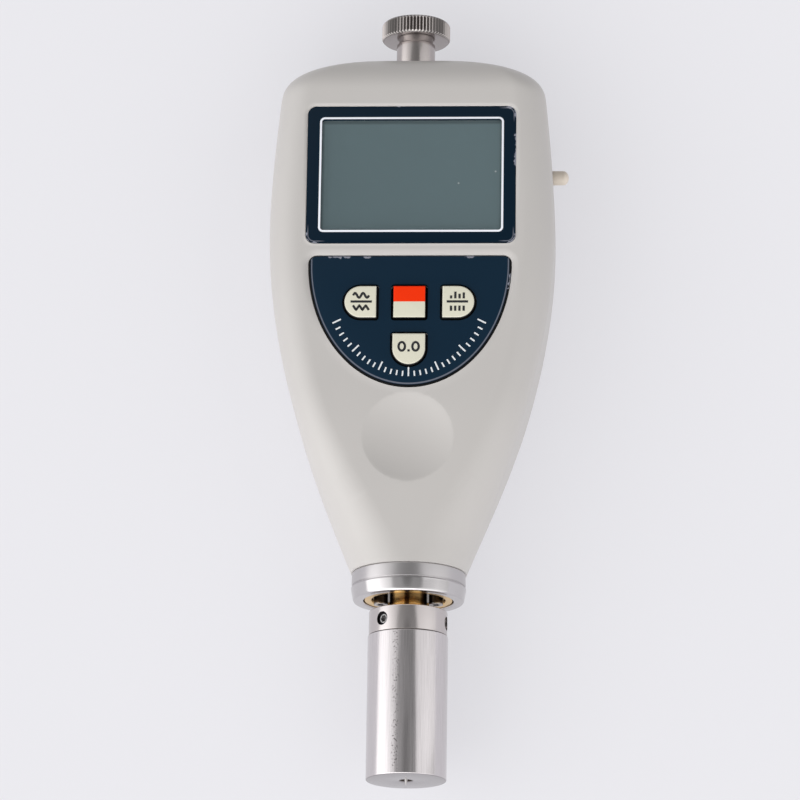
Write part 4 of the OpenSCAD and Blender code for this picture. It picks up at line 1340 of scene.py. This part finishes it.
# %% Marks on the keys
finish_base("key_ink", (0.012, 0.013, 0.016), 0.5)
key_tops = {key: span(key)[1][2] for key in KEYS}
ux, uy = key_middle("unit_key")[:2]
t = np.linspace(0, 1, 41)
WAVE_LEN, WAVE_H, WAVE_ROW = 3.6, 0.55, 1.45
wave_x = ux + 0.15 + WAVE_LEN * (t - 0.5)
wave = np.column_stack([wave_x, uy + WAVE_ROW + WAVE_H * np.sin(4 * np.pi * t)])
teeth = np.column_stack([wave_x, uy - WAVE_ROW + WAVE_H * (2 * np.abs((5 * t) % 2 - 1) - 1)])
divider = line(ux - 2.2, uy, ux + 2.6, uy)
mark_piece("unit_mark", [ribbon(path, STROKE, key_tops["unit_key"]) for path in (wave, teeth, divider)],
           "unit_button", "key_ink", "plate_print")
ax, ay = key_middle("average_key")[:2]
paths = bars(ax - 0.2, ay + 0.7, (0.7, 1.6, 1.1, 1.4)) + bars(ax - 0.2, ay - 2.2, (1.2, 1.2, 1.2, 1.2))
paths.append(line(ax - 2.6, ay, ax + 2.2, ay))
mark_piece("average_mark", [ribbon(path, STROKE, key_tops["average_key"]) for path in paths],
           "average_button", "key_ink", "plate_print")
zx, zy = key_middle("zero_key")[:2]
noughts = [ribbon(arc(zx + dx, zy + 0.5, 0.72, 1.0, 0, 348, 29), STROKE, key_tops["zero_key"], closed=True)
           for dx in (-1.55, 1.55)]
point = ribbon(line(zx - 0.25, zy - 0.45, zx + 0.25, zy - 0.45), 0.5, key_tops["zero_key"])
mark_piece("zero_mark", [*noughts, point], "zero_button", "key_ink", "plate_print")

# %% Scale along the keypad plate
finish_base("plate_ink", (0.72, 0.74, 0.76), 0.45)
TICKS, TICK_INSET, TICK_LONG, TICK_SHORT = 31, 2.5, 2.1, 1.2
TICK_WIDTH = 0.34
turn = np.radians(np.linspace(212, 328, TICKS))
outer = np.column_stack([(pad_high[0] - TICK_INSET) * np.cos(turn),
                         PAD_STRAIGHT_Y + (PAD_DEEP - TICK_INSET) * np.sin(turn)])
normal = np.column_stack([np.cos(turn) / pad_high[0], np.sin(turn) / PAD_DEEP])
normal /= np.linalg.norm(normal, axis=1, keepdims=True)
length = np.where(np.arange(TICKS) % 5 == 0, TICK_LONG, TICK_SHORT)[:, None]
ticks = [ribbon(path, TICK_WIDTH, pad_high[2]) for path in np.stack([outer, outer - normal * length], axis=1)]
mark_piece("plate_scale", ticks, "housing", "plate_ink", "key_plastic")

# %% [markdown]
# ## Turned pieces
#
# Everything below the neck, and the thumb screw above the top end, is a profile turned about one axis. A
# closed profile gives a ring; a profile that starts and ends on the axis gives a solid. Corners of a
# profile are rounded before it is turned. The knurl is the same turning with its radius cut by a wave.

# %% Turning
def turned_ring(name, corners, radius, around=128):
    """A closed profile of (r, y) corners, each rounded, turned about the long axis."""
    corners = np.asarray(corners, float)
    loop = rounded(np.vstack([corners, corners[:2]]), radius)[3:-1]
    return lathe(name, np.vstack([loop, loop[:1]]), around)


# %% Collar
COLLAR_R, GROOVE = 13.0, 0.3
RECESS_R, RECESS_DEPTH = 10.1, 2.2
SPIGOT_R, STEM_R, SENSOR_R = 8.5, 4.25, 7.05
low, band, floor_y = collar_low[1], BAND_Y, collar_low[1] + RECESS_DEPTH
bore_end = Y_NECK - 0.4
collar_ring = turned_ring("collar_turning", [
    (STEM_R, floor_y), (RECESS_R, floor_y), (RECESS_R, low), (COLLAR_R - 0.75, low), (COLLAR_R - 0.5, low + 0.3),
    (COLLAR_R, band), (COLLAR_R - GROOVE, band), (COLLAR_R - GROOVE, band + GROOVE), (COLLAR_R - 0.2, band + GROOVE),
    (COLLAR_R - 0.2, Y_NECK), (SPIGOT_R, Y_NECK), (SPIGOT_R, collar_high[1]), (SENSOR_R, collar_high[1]),
    (SENSOR_R, bore_end), (STEM_R, bore_end)], radius=0.35)
stand_for(collar_ring, "housing", "turned_aluminium", "turned_aluminium", "collar")

# %% Brass ring and stem
RING_WALL, STEM_BORE = 1.6, 2.5


def tube(name, node, inner, radius):
    """A plain ring with the length and the outer radius of a node's box."""
    (_, low, _), (outer, high, _) = span(node)
    return turned_ring(name, [(inner, low), (outer, low), (outer, high), (inner, high)], radius)


ring_inner = span("brass_ring")[1][0] - RING_WALL
stand_for(tube("brass_turning", "brass_ring", ring_inner, 0.25), "housing", "brass", "brass", "brass_ring")
stand_for(tube("stem_turning", "brass_stem", STEM_BORE, 0.2), "housing", "stem_brass", "brass", "brass_stem")

# %% Clamp ring
CLAMP_R, CLAMP_SPIGOT, SET_HOLE_R, SET_HOLE_REACH = clamp_high[0], 6.0, 1.55, 15
clamp = turned_ring("clamp_turning", [
    (STEM_R, clamp_low[1]), (CLAMP_SPIGOT, clamp_low[1]), (CLAMP_SPIGOT, JOINT_Y), (CLAMP_R, JOINT_Y),
    (CLAMP_R, clamp_high[1]), (STEM_R, clamp_high[1])], radius=0.22)
for a in SET_SCREW_ANGLES:
    out = (math.sin(a) * SET_HOLE_REACH, SET_SCREW_Y, AXIS_Z + math.cos(a) * SET_HOLE_REACH)
    carve(clamp, "DIFFERENCE", rod("set_hole", (0, SET_SCREW_Y, AXIS_Z), out, SET_HOLE_R, 40))
shade(clamp.data)
stand_for(clamp, "housing", "ring_steel", "polished_steel", "clamp_ring")

# %% Probe body
PROBE_R, FOOT_WALL, NEEDLE_BORE, BUSH_R, SINK_R = probe_high[0], 3.6, 0.63, 3.05, 1.625
SOCKET_R, SOCKET_DEPTH = 6.05, 5.1
low, high = probe_low[1], probe_high[1]
socket_floor = high - SOCKET_DEPTH
probe = turned_ring("probe_turning", [
    (NEEDLE_BORE, low + SINK_R - NEEDLE_BORE), (SINK_R, low), (PROBE_R, low), (PROBE_R, high), (SOCKET_R, high),
    (SOCKET_R, socket_floor), (BUSH_R, socket_floor), (BUSH_R, low + FOOT_WALL), (NEEDLE_BORE, low + FOOT_WALL)],
    radius=0.3, around=192)
stand_for(probe, "housing", "polished_steel", "polished_steel", "probe_body")

# %% Thumb screw
KNOB_TEETH, KNOB_TOOTH, SHOULDER_R, UNDERCUT = 60, 0.45, 4.45, 0.5
KNOB_CHAMFER, STEPS_A_TOOTH = 0.25, 8
knob_r = knob_high[0]
head_low = knob_high[1] - KNOB_T
under_low = head_low - 0.9
shank_r = 2.0


def knurl(r, along, a):
    """Cuts the head's radius with a triangle wave, one tooth a period, with blunt tips and valleys."""
    wave = np.abs((a * KNOB_TEETH / np.pi) % 2 - 1)
    return np.where(along >= head_low, np.minimum(r, knob_r - KNOB_TOOTH * np.clip(wave, 0.05, 0.95)), r)


screw_profile = np.vstack([
    [(0, knob_low[1])], rounded([(0.5, knob_low[1]), (shank_r, knob_low[1]), (shank_r, Y_TOP_FACE + 0.05),
                                 (SHOULDER_R, Y_TOP_FACE + 0.05), (SHOULDER_R, under_low),
                                 (SHOULDER_R - UNDERCUT, under_low), (SHOULDER_R - UNDERCUT, head_low - 0.02)], 0.2),
    rounded([(SHOULDER_R - UNDERCUT, head_low), (knob_r - 2 * KNOB_CHAMFER, head_low),
             (knob_r, head_low + 2 * KNOB_CHAMFER), (knob_r, knob_high[1] - 2 * KNOB_CHAMFER),
             (knob_r - 2 * KNOB_CHAMFER, knob_high[1]), (1, knob_high[1])], 0.08),
    [(0, knob_high[1])]])
screw = lathe("knurled_screw", screw_profile, KNOB_TEETH * STEPS_A_TOOTH, crisp=40, cut=knurl)
stand_for(screw, "screw", "knurled_steel", "knurled_steel", "thumb_screw")

# %% Dust plug
PLUG_R, SHANK_R, PLUG_END = 1.65, 1.2, 1.3
jack_face = plug_high[0] - 4.6


def on_plug_axis(aside, along, up):
    """The plug's axis runs along X through its middle."""
    return along, plug_mid[1] + aside, plug_mid[2] + up


dome = arc(0, plug_high[0] - PLUG_END, PLUG_R, PLUG_END, 0, 90, 12)
peg = np.vstack([rounded([(0, plug_low[0]), (SHANK_R, plug_low[0]), (SHANK_R, jack_face), (PLUG_R, jack_face)], 0.15),
                 [(PLUG_R, jack_face + 0.1)], dome])
stand_for(lathe("plug_turning", peg, 64, place=on_plug_axis), "plug", "plug_plastic", "plug_plastic", "dust_plug")

# %% [markdown]
# ## The solids that stay
#
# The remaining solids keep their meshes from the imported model. They sit inside the housing, in holes or
# behind the window, and each gets the finish of its material.

# %% Dress the remaining solids
REMAINING = {
    "display_glass": ("display_panel",),
    "dark_plastic": ("display_holder", "controller_chip", "key_switches", "data_jack", "coil_former"),
    "board": ("main_board",),
    "cell_jacket": ("battery_cells",),
    "steel": ("housing_screws", "board_screws", "spring_contacts", "plain_contacts", "needle_tip", "spindle",
              "return_spring"),
    "screw_steel": ("base_screws",),
    "set_steel": ("set_screws",),
    "black_steel": ("sensor_core",),
    "turned_aluminium": ("base_plate", "collar_nut", "sensor_tube", "tube_plug"),
    "brass": ("screw_insert", "front_bush", "rear_bush"),
    "copper_wire": ("coil_winding",),
}
for finish, names in REMAINING.items():
    for node in names:
        nodes[node].data.materials.clear()
        nodes[node].data.materials.append(finishes[finish])
print("dressed", sum(len(names) for names in REMAINING.values()), "solids with", len(REMAINING), "finishes")
